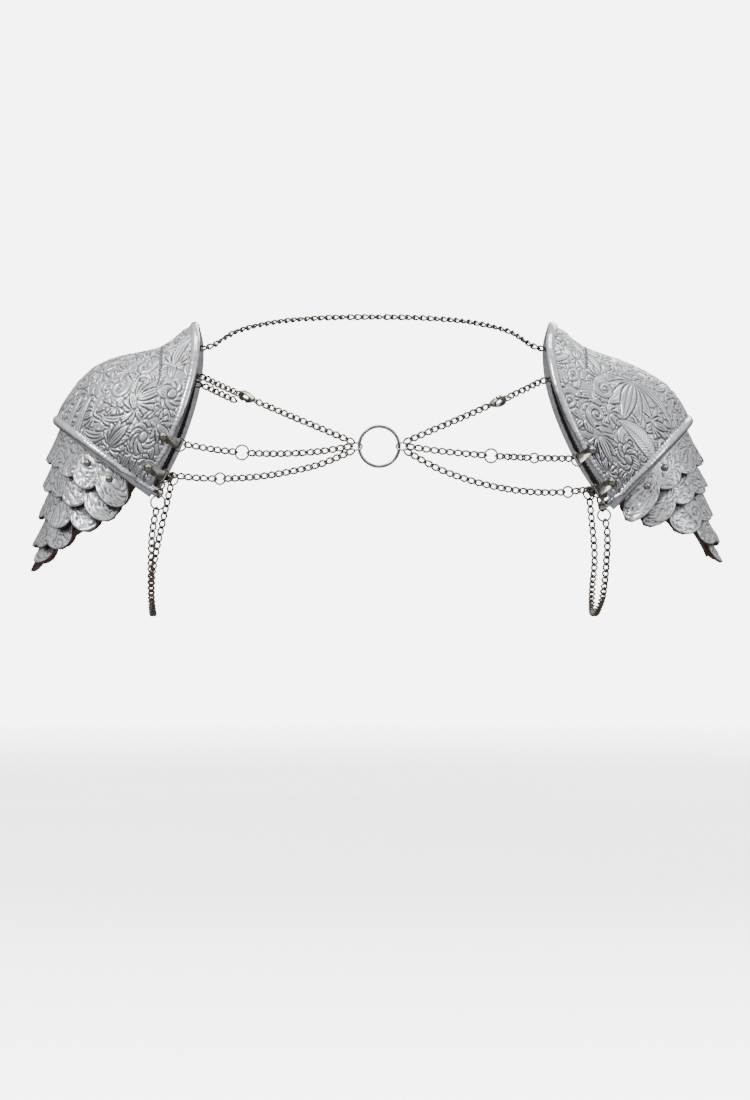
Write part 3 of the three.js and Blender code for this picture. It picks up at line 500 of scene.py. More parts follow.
def drifting(name, metallic, shine, blotch, stops, grain, relief):
    """A material whose colour and roughness drift together over blotches, under a fine grain.

    Shine is its roughness where the blotches are low and where they are high. Blotch and grain are
    a noise's size in millimetres and its detail, and relief is the grain's depth and strength.
    """
    made, tree, shader, coordinates = new_material(name, shine[0], metallic)
    drift = noise(tree, coordinates, *blotch)
    tree.links.new(ramp(tree, drift, stops).outputs["Color"], shader.inputs["Base Color"])
    limits = {"To Min": shine[0], "To Max": shine[1]}
    spread = node(tree, "ShaderNodeMapRange", limits, {"Value": drift})
    tree.links.new(spread.outputs["Result"], shader.inputs["Roughness"])
    bump(tree, shader, noise(tree, coordinates, *grain), *relief)
    return made


def flesh_side():
    made, tree, shader, coordinates = new_material("napped_back_of_dyed_leather", 0.85, 0.0)
    nap = noise(tree, coordinates, 1.2, 5)
    darks = ramp(tree, nap, [(0.3, "#2a1d19"), (0.7, "#4d3930")]).outputs["Color"]
    clouds = ramp(tree, noise(tree, coordinates, 18, 3), [(0.35, grey(0.75)), (0.7, grey(1.0))])
    clouded = mixed(tree, 1.0, darks, clouds.outputs["Color"], "MULTIPLY")
    tree.links.new(clouded, shader.inputs["Base Color"])
    shader.inputs["Sheen Weight"].default_value = 0.15
    bump(tree, shader, nap, 0.25, 0.4)
    return made


def thread():
    made, tree, shader, coordinates = new_material("waxed_polyester_thread", 0.5, 0.0)
    # A wave texture repeats about six times to a unit of its scale
    settings = {"Scale": 1 / (0.6 * MM) / 6, "Distortion": 2.0}
    plies = node(tree, "ShaderNodeTexWave", settings, {"Vector": coordinates}).outputs["Fac"]
    tones = ramp(tree, plies, [(0.2, "#8d8f94"), (0.8, "#c6c7ca")])
    tree.links.new(tones.outputs["Color"], shader.inputs["Base Color"])
    shader.inputs["Sheen Weight"].default_value = 0.2
    bump(tree, shader, plies, 0.1, 0.4)
    return made


def nickel(name, dark, pale, roughness):
    """Nickel plate, clouded from dark to pale and lightly scratched."""
    shine = (roughness - 0.06, roughness + 0.12)
    return drifting(name, 1.0, shine, (3.5, 4), [(0.32, dark), (0.66, pale)], (0.6, 2), (0.05, 0.25))


# Embossed cowhide under a pressed silver foil: a soft metal shine, bright on the high tooling, with
# faint cool and warm tints, grey and duller in its cuts, and darkened by painted shade on the scales below
# each row above
tooled_silver = tooled_foil()
# Thin bright silver foil leather folded over the edges: almost a mirror, with soft creases
binding_silver = drifting(
    "bright_foiled_binding_leather", 0.97, (0.09, 0.22), (5, 3), [(0.3, "#c9cbd0"), (0.7, "#eceef1")],
    (1.4, 4), (0.15, 0.3),
)
# The cut edge of dyed leather: matt red-brown fibres that outline each scale
cut_edge = drifting(
    "cut_edge_of_dyed_leather", 0.0, (0.7, 0.7), (0.8, 4),
    [(0.3, "#3f2720"), (0.55, "#634035"), (0.75, "#84604f")], (0.8, 4), (0.2, 0.5),
)
# The napped back of dyed leather: very dark brown and matt, clouded, with a soft nap
leather_back = flesh_side()
# Aged nickel plate on wire: a warm grey metal, clouded and lightly scratched
chain_nickel = nickel("nickel_plated_chain_wire", "#655c53", "#948a7f", 0.28)
# Polished nickel plate on the rivet heads, big rings and clasps: pale, with sharp highlights
polished_nickel = nickel("polished_nickel_plate", "#96918a", "#cbc7bf", 0.16)
# Dark nickel plate on the folded clips and eye plates: greyer and duller than the rings
sheet_nickel = nickel("dark_nickel_plated_sheet", "#5f5c56", "#9a968d", 0.24)
# Grey waxed polyester thread: twisted plies with a slight sheen
stitch_thread = thread()
# The tooled face of a sheet, its cut edge and its back
LEATHERS = [tooled_silver, cut_edge, leather_back]


# Tooling: carved scrolls, leaves and flowers over a pricked ground, pressed into a flat sheet

FIELD_STEP = 0.25
FIELD_WIDTH = 210.0
FIELD_HEIGHT = 130.0
# Spacing of the forms that fill a sheet, width of the cut round a form, and pitch of the pricked dots
FORM_SPACING = 19.0
CUT_WIDTH = 0.9
DOT_PITCH = 1.4
SEED = 58
random = np.random.default_rng(SEED)


class Tooling:
    """Height of the pressed leather on a flat sheet, in millimetres."""

    def __init__(self, seed):
        columns, rows = int(FIELD_WIDTH / FIELD_STEP), int(FIELD_HEIGHT / FIELD_STEP)
        self.x, self.y = np.meshgrid(np.arange(columns) * FIELD_STEP, np.arange(rows) * FIELD_STEP)
        self.height = np.zeros((rows, columns))
        self.covered = np.zeros((rows, columns), bool)
        self.random = np.random.default_rng(seed)

    def window(self, x, y, reach):
        """The cells of the sheet within a reach of a place."""
        spans = []
        for centre, count in zip((y, x), self.height.shape):
            ends = np.clip((centre + np.array([-reach, reach])) / FIELD_STEP, 0, count)
            spans.append(slice(*ends.astype(int)))
        return tuple(spans)

    def press(self, area, inside, gap, relief):
        """Raises a form over what is under it, with a cut round its outline."""
        height = self.height[area]
        cut = (gap < 1) & (gap > -0.5) & ~inside
        height[cut] = np.minimum(height[cut], -0.5 + 0.6 * np.maximum(gap[cut], 0))
        height[inside] = relief[inside]
        self.covered[area] |= inside

    def around(self, across, half, along):
        """The inside of a long form, and the gap outside it in widths of its cut."""
        inside = (np.abs(across) < half) & (along > 0) & (along < 1)
        beside = (along > -0.03) & (along < 1.04)
        return inside, np.where(beside, (np.abs(across) - half) / CUT_WIDTH, 1)

    def band(self, area, across, half, along, ridges, crown):
        """A leaf or stalk: its ridges run along it and close up towards its ends."""
        share = np.clip(across / np.maximum(half, 1e-6), -1, 1)
        inside, gap = self.around(across, half, along)
        ridge = np.abs(np.cos(math.pi / 2 * ridges * share)) ** 0.9
        fade = smoothstep(along, 0, 0.12) * smoothstep(1 - along, 0, 0.1)
        relief = crown * (1 - share**2) - 0.2 + 0.9 * ridge * (0.35 + 0.65 * fade)
        self.press(area, inside, gap, relief)

    def bent(self, x, y, heading, length, bend):
        """Coordinates along and across a line that leaves a place and curls by bend."""
        area = self.window(x, y, length * 1.15)
        dx, dy = self.x[area] - x, self.y[area] - y
        u = dx * math.cos(heading) + dy * math.sin(heading)
        v = dy * math.cos(heading) - dx * math.sin(heading)
        v = v if bend > 0 else -v
        radius = length / max(abs(bend), 0.05)
        return area, radius - np.hypot(u, v - radius), np.arctan2(u, radius - v) * radius / length

    def leaf(self, x, y, heading, length, width, bend, ridges=3):
        area, across, along = self.bent(x, y, heading, length, bend)
        half = width / 2 * np.sin(math.pi * np.clip(along, 0, 1) ** 0.8) ** 0.75 + 0.05
        self.band(area, across, half, along, ridges, 0.3)

    def stalk(self, x, y, heading, length, width, bend, ridges=3):
        area, across, along = self.bent(x, y, heading, length, bend)
        self.band(area, across, width / 2 * np.clip(1.1 - 0.5 * along, 0.3, 1), along, ridges, 0.1)

    def ribbed(self, x, y, heading, length, width, bend):
        """A pointed leaf with a raised rib and rim, and hatched veins between."""
        area, across, along = self.bent(x, y, heading, length, bend)
        half = width / 2 * np.sin(math.pi * np.clip(along, 0, 1) ** 0.65) ** 0.8 + 0.05
        share = np.clip(np.abs(across) / half, 0, 1)
        inside, gap = self.around(across, half, along)
        veins = 0.4 * np.abs(np.cos(math.pi * (along * length - 0.9 * np.abs(across)) / 2.3))
        rib = 0.6 * np.exp(-((across / 0.7) ** 2))
        rim = 0.6 * np.exp(-(((share - 0.88) / 0.1) ** 2))
        self.press(area, inside, gap, np.maximum(veins * (share < 0.76), np.maximum(rib, rim)))

    def boss(self, x, y, radius, base, steepness, beading=0.0):
        """A small dome, smooth or beaded."""
        area = self.window(x, y, 2 * radius)
        share = np.hypot(self.x[area] - x, self.y[area] - y) / radius
        dome = base + 0.5 * np.sqrt(np.clip(1.1 - share**2, 0, 2))
        beads = beading * np.cos(self.x[area] * 4.4) * np.cos(self.y[area] * 4.4)
        self.press(area, share < 1, (share - 1) * steepness, dome + beads)

    def shell(self, x, y, heading, size, bend, arcs):
        """A comma of nested arcs, like a shell or a curled leaf seen from its side."""
        hand = 1 if bend > 0 else -1
        for number in range(arcs):
            shrink = 1 - number / (arcs + 0.6)
            along_x = x + math.cos(heading) * size * 0.22 * number
            along_y = y + math.sin(heading) * size * 0.22 * number
            self.stalk(along_x, along_y, heading + hand * -0.9, size * 1.9 * shrink, 3.4, hand * 2.6, 1)

    def scroll(self, x, y, heading, size, turns, hand):
        """A volute: a ridged band that winds in on itself to a small boss."""
        area = self.window(x, y, size * 1.3)
        dx, dy = self.x[area] - x, (self.y[area] - y) * hand
        radius = np.hypot(dx, dy) + 1e-6
        angle = np.arctan2(dy, dx) - heading * hand
        tightness = 1 / (2 * math.pi)
        coil = np.round((-np.log(radius / size) / tightness - angle) / (2 * math.pi))
        position = angle + 2 * math.pi * coil
        spiral = size * np.exp(-tightness * position)
        self.band(area, radius - spiral, 0.3 * spiral, position / (2 * math.pi * turns), 3, 0.1)
        self.boss(x, y, 0.15 * size, 0.5, 1.5)

    def fan(self, x, y, heading, size, lobes, spread=1.1):
        """An acanthus leaf: ridged lobes that curl away from its middle."""
        for at in sorted(np.linspace(-1, 1, lobes), key=lambda place: -abs(place)):
            length = size * (1 - 0.3 * abs(at))
            self.leaf(x, y, heading + spread * at, length, size * 0.36, 1.2 * at + 0.1)

    def flower(self, x, y, size, petals):
        """A round of petals about a beaded boss."""
        start = self.random.uniform(0, 2 * math.pi)
        for number in range(petals):
            self.leaf(x, y, start + 2 * math.pi * number / petals, size, size * 0.85, 0.35, 5)
        self.boss(x, y, 0.27 * size, 0.3, 2, 0.3)

    def fill(self, spacing):
        """Covers the sheet with volutes, acanthus leaves and flowers on a flowing ground of stalks."""
        pick = self.random
        spots = []
        for row, y in enumerate(np.arange(0, FIELD_HEIGHT + 9, spacing * 0.82)):
            for x in np.arange((row % 2) * spacing / 2, FIELD_WIDTH + 9, spacing):
                spots.append((x + pick.uniform(-3, 3), y + pick.uniform(-3, 3)))

        def flow(x, y):
            return math.sin(x / 37) * 1.2 + math.cos(y / 29 + x / 57) * 1.5

        for x, y in spots:
            heading = flow(x, y)
            for turn in (-2.2, -1.1, 1.1, 2.2, 0):
                length = pick.uniform(11, 15)
                bend = math.copysign(pick.uniform(0.7, 1.6), turn)
                self.leaf(x, y, heading + turn, length, 6.2, bend)
        for number, index in enumerate(pick.permutation(len(spots))):
            x, y = spots[index]
            heading = flow(x, y) + pick.uniform(-0.4, 0.4)
            kind = number % 6
            if kind in (0, 3):
                self.scroll(x, y, heading, pick.uniform(7.5, 10), 1.6, pick.choice([-1, 1]))
            elif kind == 1:
                self.fan(x, y, heading, pick.uniform(13, 17), 7)
            elif kind == 4:
                self.shell(x, y, heading, pick.uniform(8, 11), pick.choice([-1, 1]), 4)
            elif kind == 2:
                self.flower(x, y, pick.uniform(7, 9), 6)
            else:
                self.fan(x, y, heading + 2.6, pick.uniform(11, 14), 5, 0.9)

    def finish(self):
        """Pricks the open ground with dots and softens the whole, as foil over leather does."""
        per_dot = 2 * math.pi / DOT_PITCH
        dots = np.cos(self.x * per_dot) * np.cos(self.y * per_dot + self.x * 0.7)
        self.height[~self.covered] += 0.18 * dots[~self.covered]
        height = blurred(self.height, 1, 1)
        cavity = np.clip((blurred(height, 3, 2) - height - 0.04) / 0.25, 0, 1)
        return height - height.mean(), cavity


def blurred(field, reach, times):
    """A field smoothed by box means each way, over a reach in cells."""
    for axis in (0, 1) * times:
        pads = [(reach + 1, reach) if side == axis else (0, 0) for side in (0, 1)]
        total = np.cumsum(np.pad(field, pads, mode="edge"), axis=axis)
        width = 2 * reach + 1
        ahead = np.take(total, range(width, total.shape[axis]), axis)
        behind = np.take(total, range(total.shape[axis] - width), axis)
        field = (ahead - behind) / width
    return field


def sampled(field, x, y):
    """Values of a field at places in millimetres, mirrored where they run off the sheet."""
    rows, columns = field.shape
    u = np.abs(np.asarray(x) / FIELD_STEP) % (2 * columns - 2)
    v = np.abs(np.asarray(y) / FIELD_STEP) % (2 * rows - 2)
    u = np.minimum(u, 2 * columns - 2 - u)
    v = np.minimum(v, 2 * rows - 2 - v)
    i = np.clip(v.astype(int), 0, rows - 2)
    j = np.clip(u.astype(int), 0, columns - 2)
    s, t = u - j, v - i
    top = field[i, j] * (1 - s) + field[i, j + 1] * s
    low = field[i + 1, j] * (1 - s) + field[i + 1, j + 1] * s
    return top * (1 - t) + low * t


# The clearest forms of each cap's front, laid over the rest: where they are as seen from the
# front, which way they point in degrees from the right, and their sizes
FORMS = {
    "left": [
        ("leaf", -207, -30, 238, 36, 6.4, 0.9),
        ("leaf", -200, -31, 240, 36, 7, 0.9),
        ("leaf", -206, -16, 225, 40, 6.6, -0.7),
        ("shell", -190, -30, 250, 12, 1, 5),
        ("shell", -176, -8, 20, 13, 1, 5),
        ("scroll", -164, -20, 200, 9, 1.6, 1),
        ("scroll", -180, -25, 40, 8, 1.5, -1),
        ("fan", -166, -33, 20, 21, 7, 0.8),
        ("flower", -142, -30, 12, 9),
        ("leaf", -192, -46, -35, 30, 7, 1.6),
        ("leaf", -205, -54, -40, 30, 7, 1.5),
        ("fan", -186, -66, 50, 19, 7, 0.9),
        ("flower", -162, -60, 12, 9),
        ("leaf", -141, -8, 75, 28, 7, -0.7),
        ("scroll", -160, -88, 120, 9, 1.6, -1),
        ("fan", -152, -52, -60, 14, 5, 0.9),
    ],
    "right": [
        ("fan", 184, -22, 250, 34, 7, 0.75),
        ("leaf", 184, -20, 335, 42, 7.5, -0.7),
        ("scroll", 196, -10, 330, 11, 1.7, -1),
        ("shell", 212, -44, 60, 14, -1, 5),
        ("ribbed", 204, -82, 100, 36, 15, 0.8),
        ("scroll", 164, -26, 90, 9, 1.6, 1),
        ("scroll", 158, -44, 270, 8, 1.6, -1),
        ("fan", 160, -60, 300, 18, 7, 0.9),
        ("flower", 180, -76, 11, 8),
        ("flower", 166, -8, 9, 8),
        ("leaf", 143, 8, 290, 30, 6.6, 0.9),
        ("leaf", 150, 2, 300, 26, 6, -0.4),
        ("leaf", 222, -50, 215, 26, 7, 1.3),
    ],
}
# Where a form's bend or hand is among its numbers
BEND_AT = {"leaf": 3, "ribbed": 3, "shell": 2, "scroll": 3}


def sheet_place(face, form):
    """Turns a form's place and heading, as seen from the front, into those on the flat sheet."""
    kind, x, z, *numbers = form
    seen, u, v = face
    far = np.where(seen[:, :, 1] < 0, 0, 1e6)
    distance = (seen[:, :, 0] - x) ** 2 + (seen[:, :, 2] - z) ** 2 + far
    i, j = np.unravel_index(np.argmin(distance), distance.shape)
    step = 3
    i = int(np.clip(i, step, seen.shape[0] - step - 1))
    j = int(np.clip(j, step, seen.shape[1] - step - 1))
    if kind == "flower":
        return kind, u[i, j], v[i, j], *numbers
    round_arm = (seen[i + step, j] - seen[i - step, j])[[0, 2]] / (u[i + step, j] - u[i - step, j])
    to_hem = (seen[i, j + step] - seen[i, j - step])[[0, 2]] / (v[i, j + step] - v[i, j - step])
    basis = np.stack([unit(round_arm), unit(to_hem)], -1)
    angle = math.radians(numbers[0])
    across, down = np.linalg.solve(basis, [math.cos(angle), math.sin(angle)])
    numbers[0] = math.atan2(down, across)
    if kind in BEND_AT:
        numbers[BEND_AT[kind]] *= math.copysign(1, np.linalg.det(basis))
    return kind, u[i, j], v[i, j], *numbers


def tooled_sheet(face, forms, seed):
    sheet = Tooling(seed)
    sheet.fill(FORM_SPACING)
    for form in forms:
        kind, *numbers = sheet_place(face, form)
        getattr(sheet, kind)(*numbers)
    return sheet.finish()


# Meshes


def grid_faces(rows, columns, start=0, flip=False):
    i, j = np.meshgrid(np.arange(rows - 1), np.arange(columns - 1), indexing="ij")
    a = start + i * columns + j
    quads = np.stack([a, a + 1, a + columns + 1, a + columns], -1).reshape(-1, 4)
    return quads[:, ::-1] if flip else quads


def border(rows, columns, start=0):
    """The vertices round a grid, in order, without repeating the first."""
    grid = start + np.arange(rows * columns).reshape(rows, columns)
    return np.concatenate([grid[0, :-1], grid[:-1, -1], grid[-1, :0:-1], grid[:0:-1, 0]])


def add_mesh(name, points, faces, materials, face_materials=None, values=None, smooth=True):
    """Makes an object at the origin from points in millimetres."""
    mesh = bpy.data.meshes.new(name)
    mesh.from_pydata((np.asarray(points) * MM).tolist(), [], [list(map(int, face)) for face in faces])
    for material in materials:
        mesh.materials.append(material)
    if face_materials is not None:
        mesh.polygons.foreach_set("material_index", np.asarray(face_materials, np.int32))
    if values is not None:
        layer = mesh.attributes.new("cavity", "FLOAT", "POINT")
        layer.data.foreach_set("value", np.asarray(values, np.float32))
    mesh.polygons.foreach_set("use_smooth", np.full(len(mesh.polygons), smooth))
    mesh.update()
    made = bpy.data.objects.new(name, mesh)
    bpy.context.scene.collection.objects.link(made)
    return made


def signed_volume(points, faces):
    """Six times the volume inside some faces: below zero when they face inward."""
    total = 0.0
    for width in {len(face) for face in faces}:
        chosen = np.array([face for face in faces if len(face) == width])
        for k in range(1, width - 1):
            a, b, c = points[chosen[:, 0]], points[chosen[:, k]], points[chosen[:, k + 1]]
            total += np.sum(a * np.cross(b, c))
    return total


def facing_out(points, faces):
    return faces if signed_volume(points, faces) > 0 else [face[::-1] for face in faces]


def merged(parts):
    """Several pairs of points and faces as one."""
    points, faces = [], []
    start = 0
    for part_points, part_faces in parts:
        points.append(part_points)
        faces += [[start + k for k in face] for face in part_faces]
        start += len(part_points)
    return np.concatenate(points), faces


def tube(rings, looped=False):
    """Points and faces of a skin over rings of points, looped or closed at its ends."""
    count, sides = rings.shape[:2]
    i, j = np.meshgrid(np.arange(count if looped else count - 1), np.arange(sides), indexing="ij")
    after, beside = (i + 1) % count * sides, (j + 1) % sides
    quads = np.stack([i * sides + j, i * sides + beside, after + beside, after + j], -1).reshape(-1, 4)
    last = (count - 1) * sides
    ends = [] if looped else [list(range(sides))[::-1], list(range(last, last + sides))]
    points = rings.reshape(-1, 3)
    return points, facing_out(points, quads.tolist() + ends)


def sheet_parts(outer, inner, step):
    """Points and faces of a closed sheet from a fine outer grid and a coarser inner one."""
    rows, columns = outer.shape[:2]
    coarse_rows, coarse_columns = inner.shape[:2]
    start = rows * columns
    points = np.concatenate([outer.reshape(-1, 3), inner.reshape(-1, 3)])
    top = grid_faces(rows, columns)
    under = grid_faces(coarse_rows, coarse_columns, start, flip=True)
    fine = border(rows, columns)
    coarse = border(coarse_rows, coarse_columns, start)
    rim = []
    for k in range(len(coarse)):
        near, far = coarse[k], coarse[(k + 1) % len(coarse)]
        steps = [fine[(k * step + m) % len(fine)] for m in range(step + 1)]
        half = step // 2
        rim += [(steps[m + 1], steps[m], near) for m in range(half)]
        rim.append((near, far, steps[half]))
        rim += [(steps[m + 1], steps[m], far) for m in range(half, step)]
    faces = [*map(tuple, top.tolist()), *map(tuple, under.tolist()), *rim]
    kinds = [0] * len(top) + [2] * len(under) + [1] * len(rim)
    return points, facing_out(points, faces), kinds


def wear(piece, slot, *nodes):
    """Puts a finished piece on the worn body, in place of the nodes it stands for."""
    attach(piece, "root")
    if nodes:
        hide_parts(*nodes)


# Caps

CAP_FRONT_ROWS = 251
CAP_BACK_ROWS = 167
CAP_COLUMNS = 225
CAP_COARSE = 8
CAP_RELIEF = 0.82
DART_GROOVE = 0.9
DART_GROOVE_WIDTH = 0.7
DART_FLAT_WIDTH = 1.8
DART_STITCH_PITCH = 2.4
DART_STITCH_LENGTH = 2.2


def dart_line(side):
    """The front half of the short seam over the crown, where the collar turns up."""
    turns = np.radians(np.linspace(0, 70, 71))

    def beyond(along):
        return cap_point(side, turns, along)[:, 0] - side["dart_x"]

    alongs = solve(beyond, np.full_like(turns, 0.02), np.full_like(turns, 0.6))
    line = cap_point(side, -turns, alongs)
    past_end = line[:, 2] < side["dart_end_z"]
    return line[: np.argmax(past_end)] if past_end.any() else line


def cap_face(side, turns, alongs):
    """Middle of the leather, its outward normal and its place on the flat sheet."""
    turn, along = np.meshgrid(turns, alongs, indexing="ij")
    middle = cap_point(side, turn, along)
    across = np.gradient(middle, axis=1)
    round_arm = np.gradient(middle, axis=0)
    normal = unit(np.cross(across, round_arm))
    ridge = cap_point(side, turns, np.full_like(turns, 0.5))
    width = np.linalg.norm(hem_point(side, turns) - collar_point(side, turns), axis=-1)
    u = np.repeat(run_along(ridge)[:, None], len(alongs), 1)
    v = (along - 0.5) * width[:, None] + FIELD_HEIGHT / 2
    return middle, normal, u, v


def make_cap(side, number):
    """A cap's tooled leather and its dart. Returns the tooled sheet, for the scales."""
    quarter = math.pi / 2
    front = np.linspace(-quarter, 0, CAP_FRONT_ROWS)[:-1]
    turns = np.concatenate([front, np.linspace(0, quarter, CAP_BACK_ROWS)])
    middle, normal, u, v = cap_face(side, turns, np.linspace(0, 1, CAP_COLUMNS))
    name = side["name"]
    height, cavity = tooled_sheet((on_side(side, middle), u, v), FORMS[name], SEED + number)
    relief = sampled(height, u, v) * CAP_RELIEF
    cut = sampled(cavity, u, v)
    # The tooling fades out under the bound edges, so that they fold over smooth leather
    from_collar = np.linalg.norm(middle - middle[:, :1], axis=-1)
    from_hem = np.linalg.norm(middle - middle[:, -1:], axis=-1)
    fade = smoothstep(np.minimum(from_collar, from_hem), BINDING_DEPTH - 1.2, BINDING_DEPTH + 0.6)
    seam = dart_line(side)
    seam = np.concatenate([seam[::-1], seam[1:] * np.array([1, -1, 1])])
    near = np.full(middle.shape[:2], np.inf)
    for point in seam:
        near = np.minimum(near, np.linalg.norm(middle - point, axis=-1))
    groove = np.exp(-((near / DART_GROOVE_WIDTH) ** 2))
    flattened = 0.8 * np.exp(-((near / DART_FLAT_WIDTH) ** 2))
    offset = CAP_LEATHER / 2 + relief * fade * (1 - flattened) - DART_GROOVE * groove
    outer = on_side(side, middle + normal * offset[..., None])
    inner = on_side(side, (middle - normal * CAP_LEATHER / 2)[::CAP_COARSE, ::CAP_COARSE])
    points, faces, kinds = sheet_parts(outer, inner, CAP_COARSE)
    values = np.concatenate([np.maximum(cut * fade, groove).ravel(), np.zeros(inner.size // 3)])
    cap = add_mesh(f"tooled_cap_{name}", points, faces, LEATHERS, kinds, values)
    wear(cap, "silver_leather", f"cap_{name}")
    stitch_dart(side, seam, middle.reshape(-1, 3), normal.reshape(-1, 3))
    return height, cavity


def stitch_dart(side, seam, face, normals):
    """Slanted stitches across the dart's seam."""
    run = run_along(seam)
    stitches = []
    for at in np.arange(1.0, run[-1], DART_STITCH_PITCH):
        k = int(np.clip(np.searchsorted(run, at), 1, len(seam) - 1))
        heading = unit(seam[k] - seam[k - 1])
        out = normals[np.argmin(np.linalg.norm(face - seam[k], axis=1))]
        slant = unit(np.cross(heading, out) + 0.5 * heading)
        stitches.append((seam[k] + out * (CAP_LEATHER / 2 + 0.1), slant, out, heading))
    stitch_row(side, f"dart_stitches_{side['name']}", stitches, DART_STITCH_LENGTH)


STITCH_RADIUS = 0.32
# Sections of a stitch: share of its length, size and lift off the leather in millimetres
STITCH_SECTIONS = [
    (-0.5, 0.3, -0.25), (-0.36, 0.9, 0.05), (0, 1, 0.15), (0.36, 0.9, 0.05), (0.5, 0.3, -0.25),
]


def stitch_row(side, name, places, length):
    """A row of thread stitches, each from its point and its directions along, out and beside."""
    angles = np.linspace(0, 2 * math.pi, 7)[:-1, None]
    stitches = []
    for point, along, out, beside in places:
        spokes = (out * np.sin(angles) + beside * np.cos(angles)) * STITCH_RADIUS
        rings = [
            point + along * share * length + out * lift + spokes * size
            for share, size, lift in STITCH_SECTIONS
        ]
        stitches.append(tube(on_side(side, np.array(rings))))
    wear(add_mesh(name, *merged(stitches), [stitch_thread]), "mirror_leather")


# Bindings

BINDING_HALF = CAP_LEATHER / 2 + BINDING_PLAY + BINDING_SKIN
ROLL_HALF = 3.1
ROLL_CENTRE = 1.9
ROLL_REACH = 3.2
STITCH_PITCH = 3.1
STITCH_LENGTH = 1.9
STITCH_INTO = 4.75
STITCH_OUT = 1.62
BINDING_STEP = 0.55
HEM_OVERRUN = 1.5
PUCKER = 0.08
HEM_STRIP_BREADTH = 1.16
KNUCKLE_TURN = {"left": -76.0, "right": -85.0}


def binding_section():
    """The rolled strip's section: into the leather and out of its face, with how far it puckers."""
    slot = CAP_LEATHER / 2 + 0.12
    upper = []
    for degrees in (12, 26, 40, 54, 68, 82, 96, 110, 122, 133, 142):
        angle = math.radians(degrees)
        into = ROLL_CENTRE - ROLL_REACH * math.cos(angle)
        upper.append((into, ROLL_HALF * math.sin(angle), max(0.0, (degrees - 80) / 60)))
    upper.append((BINDING_DEPTH - 0.1, slot + 0.35, 0.6))
    upper += [(into, slot, 0.0) for into in (BINDING_DEPTH, 2.4, -0.3)]
    lower = [(into, -out, loose) for into, out, loose in reversed(upper)]
    return np.array([(ROLL_CENTRE - ROLL_REACH, 0.0, 0.0), *upper, *lower])


def fullness(turn, knuckle, pinches):
    """How full a roll is at a turn in degrees: gathered at its knuckle, pinched under each clip."""
    full = 1.0
    if knuckle is not None:
        away = (turn - knuckle) / 3.0
        full += 0.18 * math.exp(-(away**2)) - 0.22 * math.exp(-((away + 2.0) ** 2))
    for pinch in pinches:
        full -= 0.12 * math.exp(-(((turn - pinch) / 5.0) ** 4))
    return full


def make_binding(side, edge, part, pinches):
    """A strip of bright leather rolled over an edge, pinched where the clips fold over it."""
    name = side["name"]
    turns = np.linspace(-math.pi / 2, math.pi / 2, 241)
    frames = edge_frame(side, turns, edge)
    run = run_along(frames["point"])
    count = int(run[-1] / BINDING_STEP)
    stations = np.linspace(0, run[-1], count)
    smooth = {key: at_run(run, rows, stations) for key, rows in frames.items()}
    turn_at = np.degrees(np.interp(stations, run, turns))
    # The rings that close the ends: how far past the corner each is, and its size
    over = BINDING_OVERRUN + HEM_OVERRUN if edge else CORNER_MARGIN
    closing = [(over + 0.5, 0.4), (over + 0.3, 0.66)]
    closing += [(over * share, size) for share, size in ((0.8, 0.8), (0.5, 0.82), (0.2, 0.92))]
    stops = [(0, -past, size) for past, size in closing]
    stops += [(index, 0.0, 1.0) for index in range(count)]
    stops += [(count - 1, past, size) for past, size in reversed(closing)]
    breadth = HEM_STRIP_BREADTH if edge else 1.0
    knuckle = KNUCKLE_TURN[name] if edge else None
    into, out, loose = binding_section().T
    rolled = np.abs(out) > CAP_LEATHER
    phase = random.uniform(0, 6)
    rings = []
    for index, past, size in stops:
        at = stations[index]
        pucker = PUCKER * math.cos(2 * math.pi * at / STITCH_PITCH) * loose
        ripple = 0.1 * math.sin(at / 4.1 + phase) + 0.07 * math.sin(at / 1.9) * np.sin(out * 1.1 + at / 3)
        swollen = (out + np.sign(out) * (pucker + ripple)) * fullness(turn_at[index], knuckle, pinches)
        height = np.where(rolled, swollen, out) * size
        inward = into * breadth * (0.8 + 0.2 * size)
        place = smooth["point"][index] + smooth["along"][index] * past
        offset = smooth["inward"][index] * inward[:, None] + smooth["out"][index] * height[:, None]
        rings.append(place + offset)
    piece = add_mesh(f"{part}_{name}_roll", *tube(on_side(side, np.array(rings))), [binding_silver])
    wear(piece, "mirror_leather", f"{part}_{name}")
    stitches = []
    for at in np.arange(2.0, run[-1] - 1.0, STITCH_PITCH):
        k = min(int(np.searchsorted(stations, at)), count - 1)
        along, inward = smooth["along"][k], smooth["inward"][k]
        for out_of_face in (smooth["out"][k], -smooth["out"][k]):
            point = smooth["point"][k] + inward * STITCH_INTO * breadth + out_of_face * STITCH_OUT
            slant = unit(0.75 * out_of_face + 0.66 * inward)
            stitches.append((point, along, slant, np.cross(along, slant)))
    stitch_row(side, f"{part}_stitches_{name}", stitches, STITCH_LENGTH)


# Wings

SCALE_COLUMNS = 29
SCALE_ROWS = 37
SCALE_COARSE = 4
SCALE_RELIEF = 0.5
SCALE_SPREAD = 1.2
CORNER_SPREAD = 1.3
SCALE_SWEEP = 0.42
CORNER_SWEEP = 0.16
SHORTEST_SCALE = 11.0
CUT_EDGE_SHOWS = 0.7


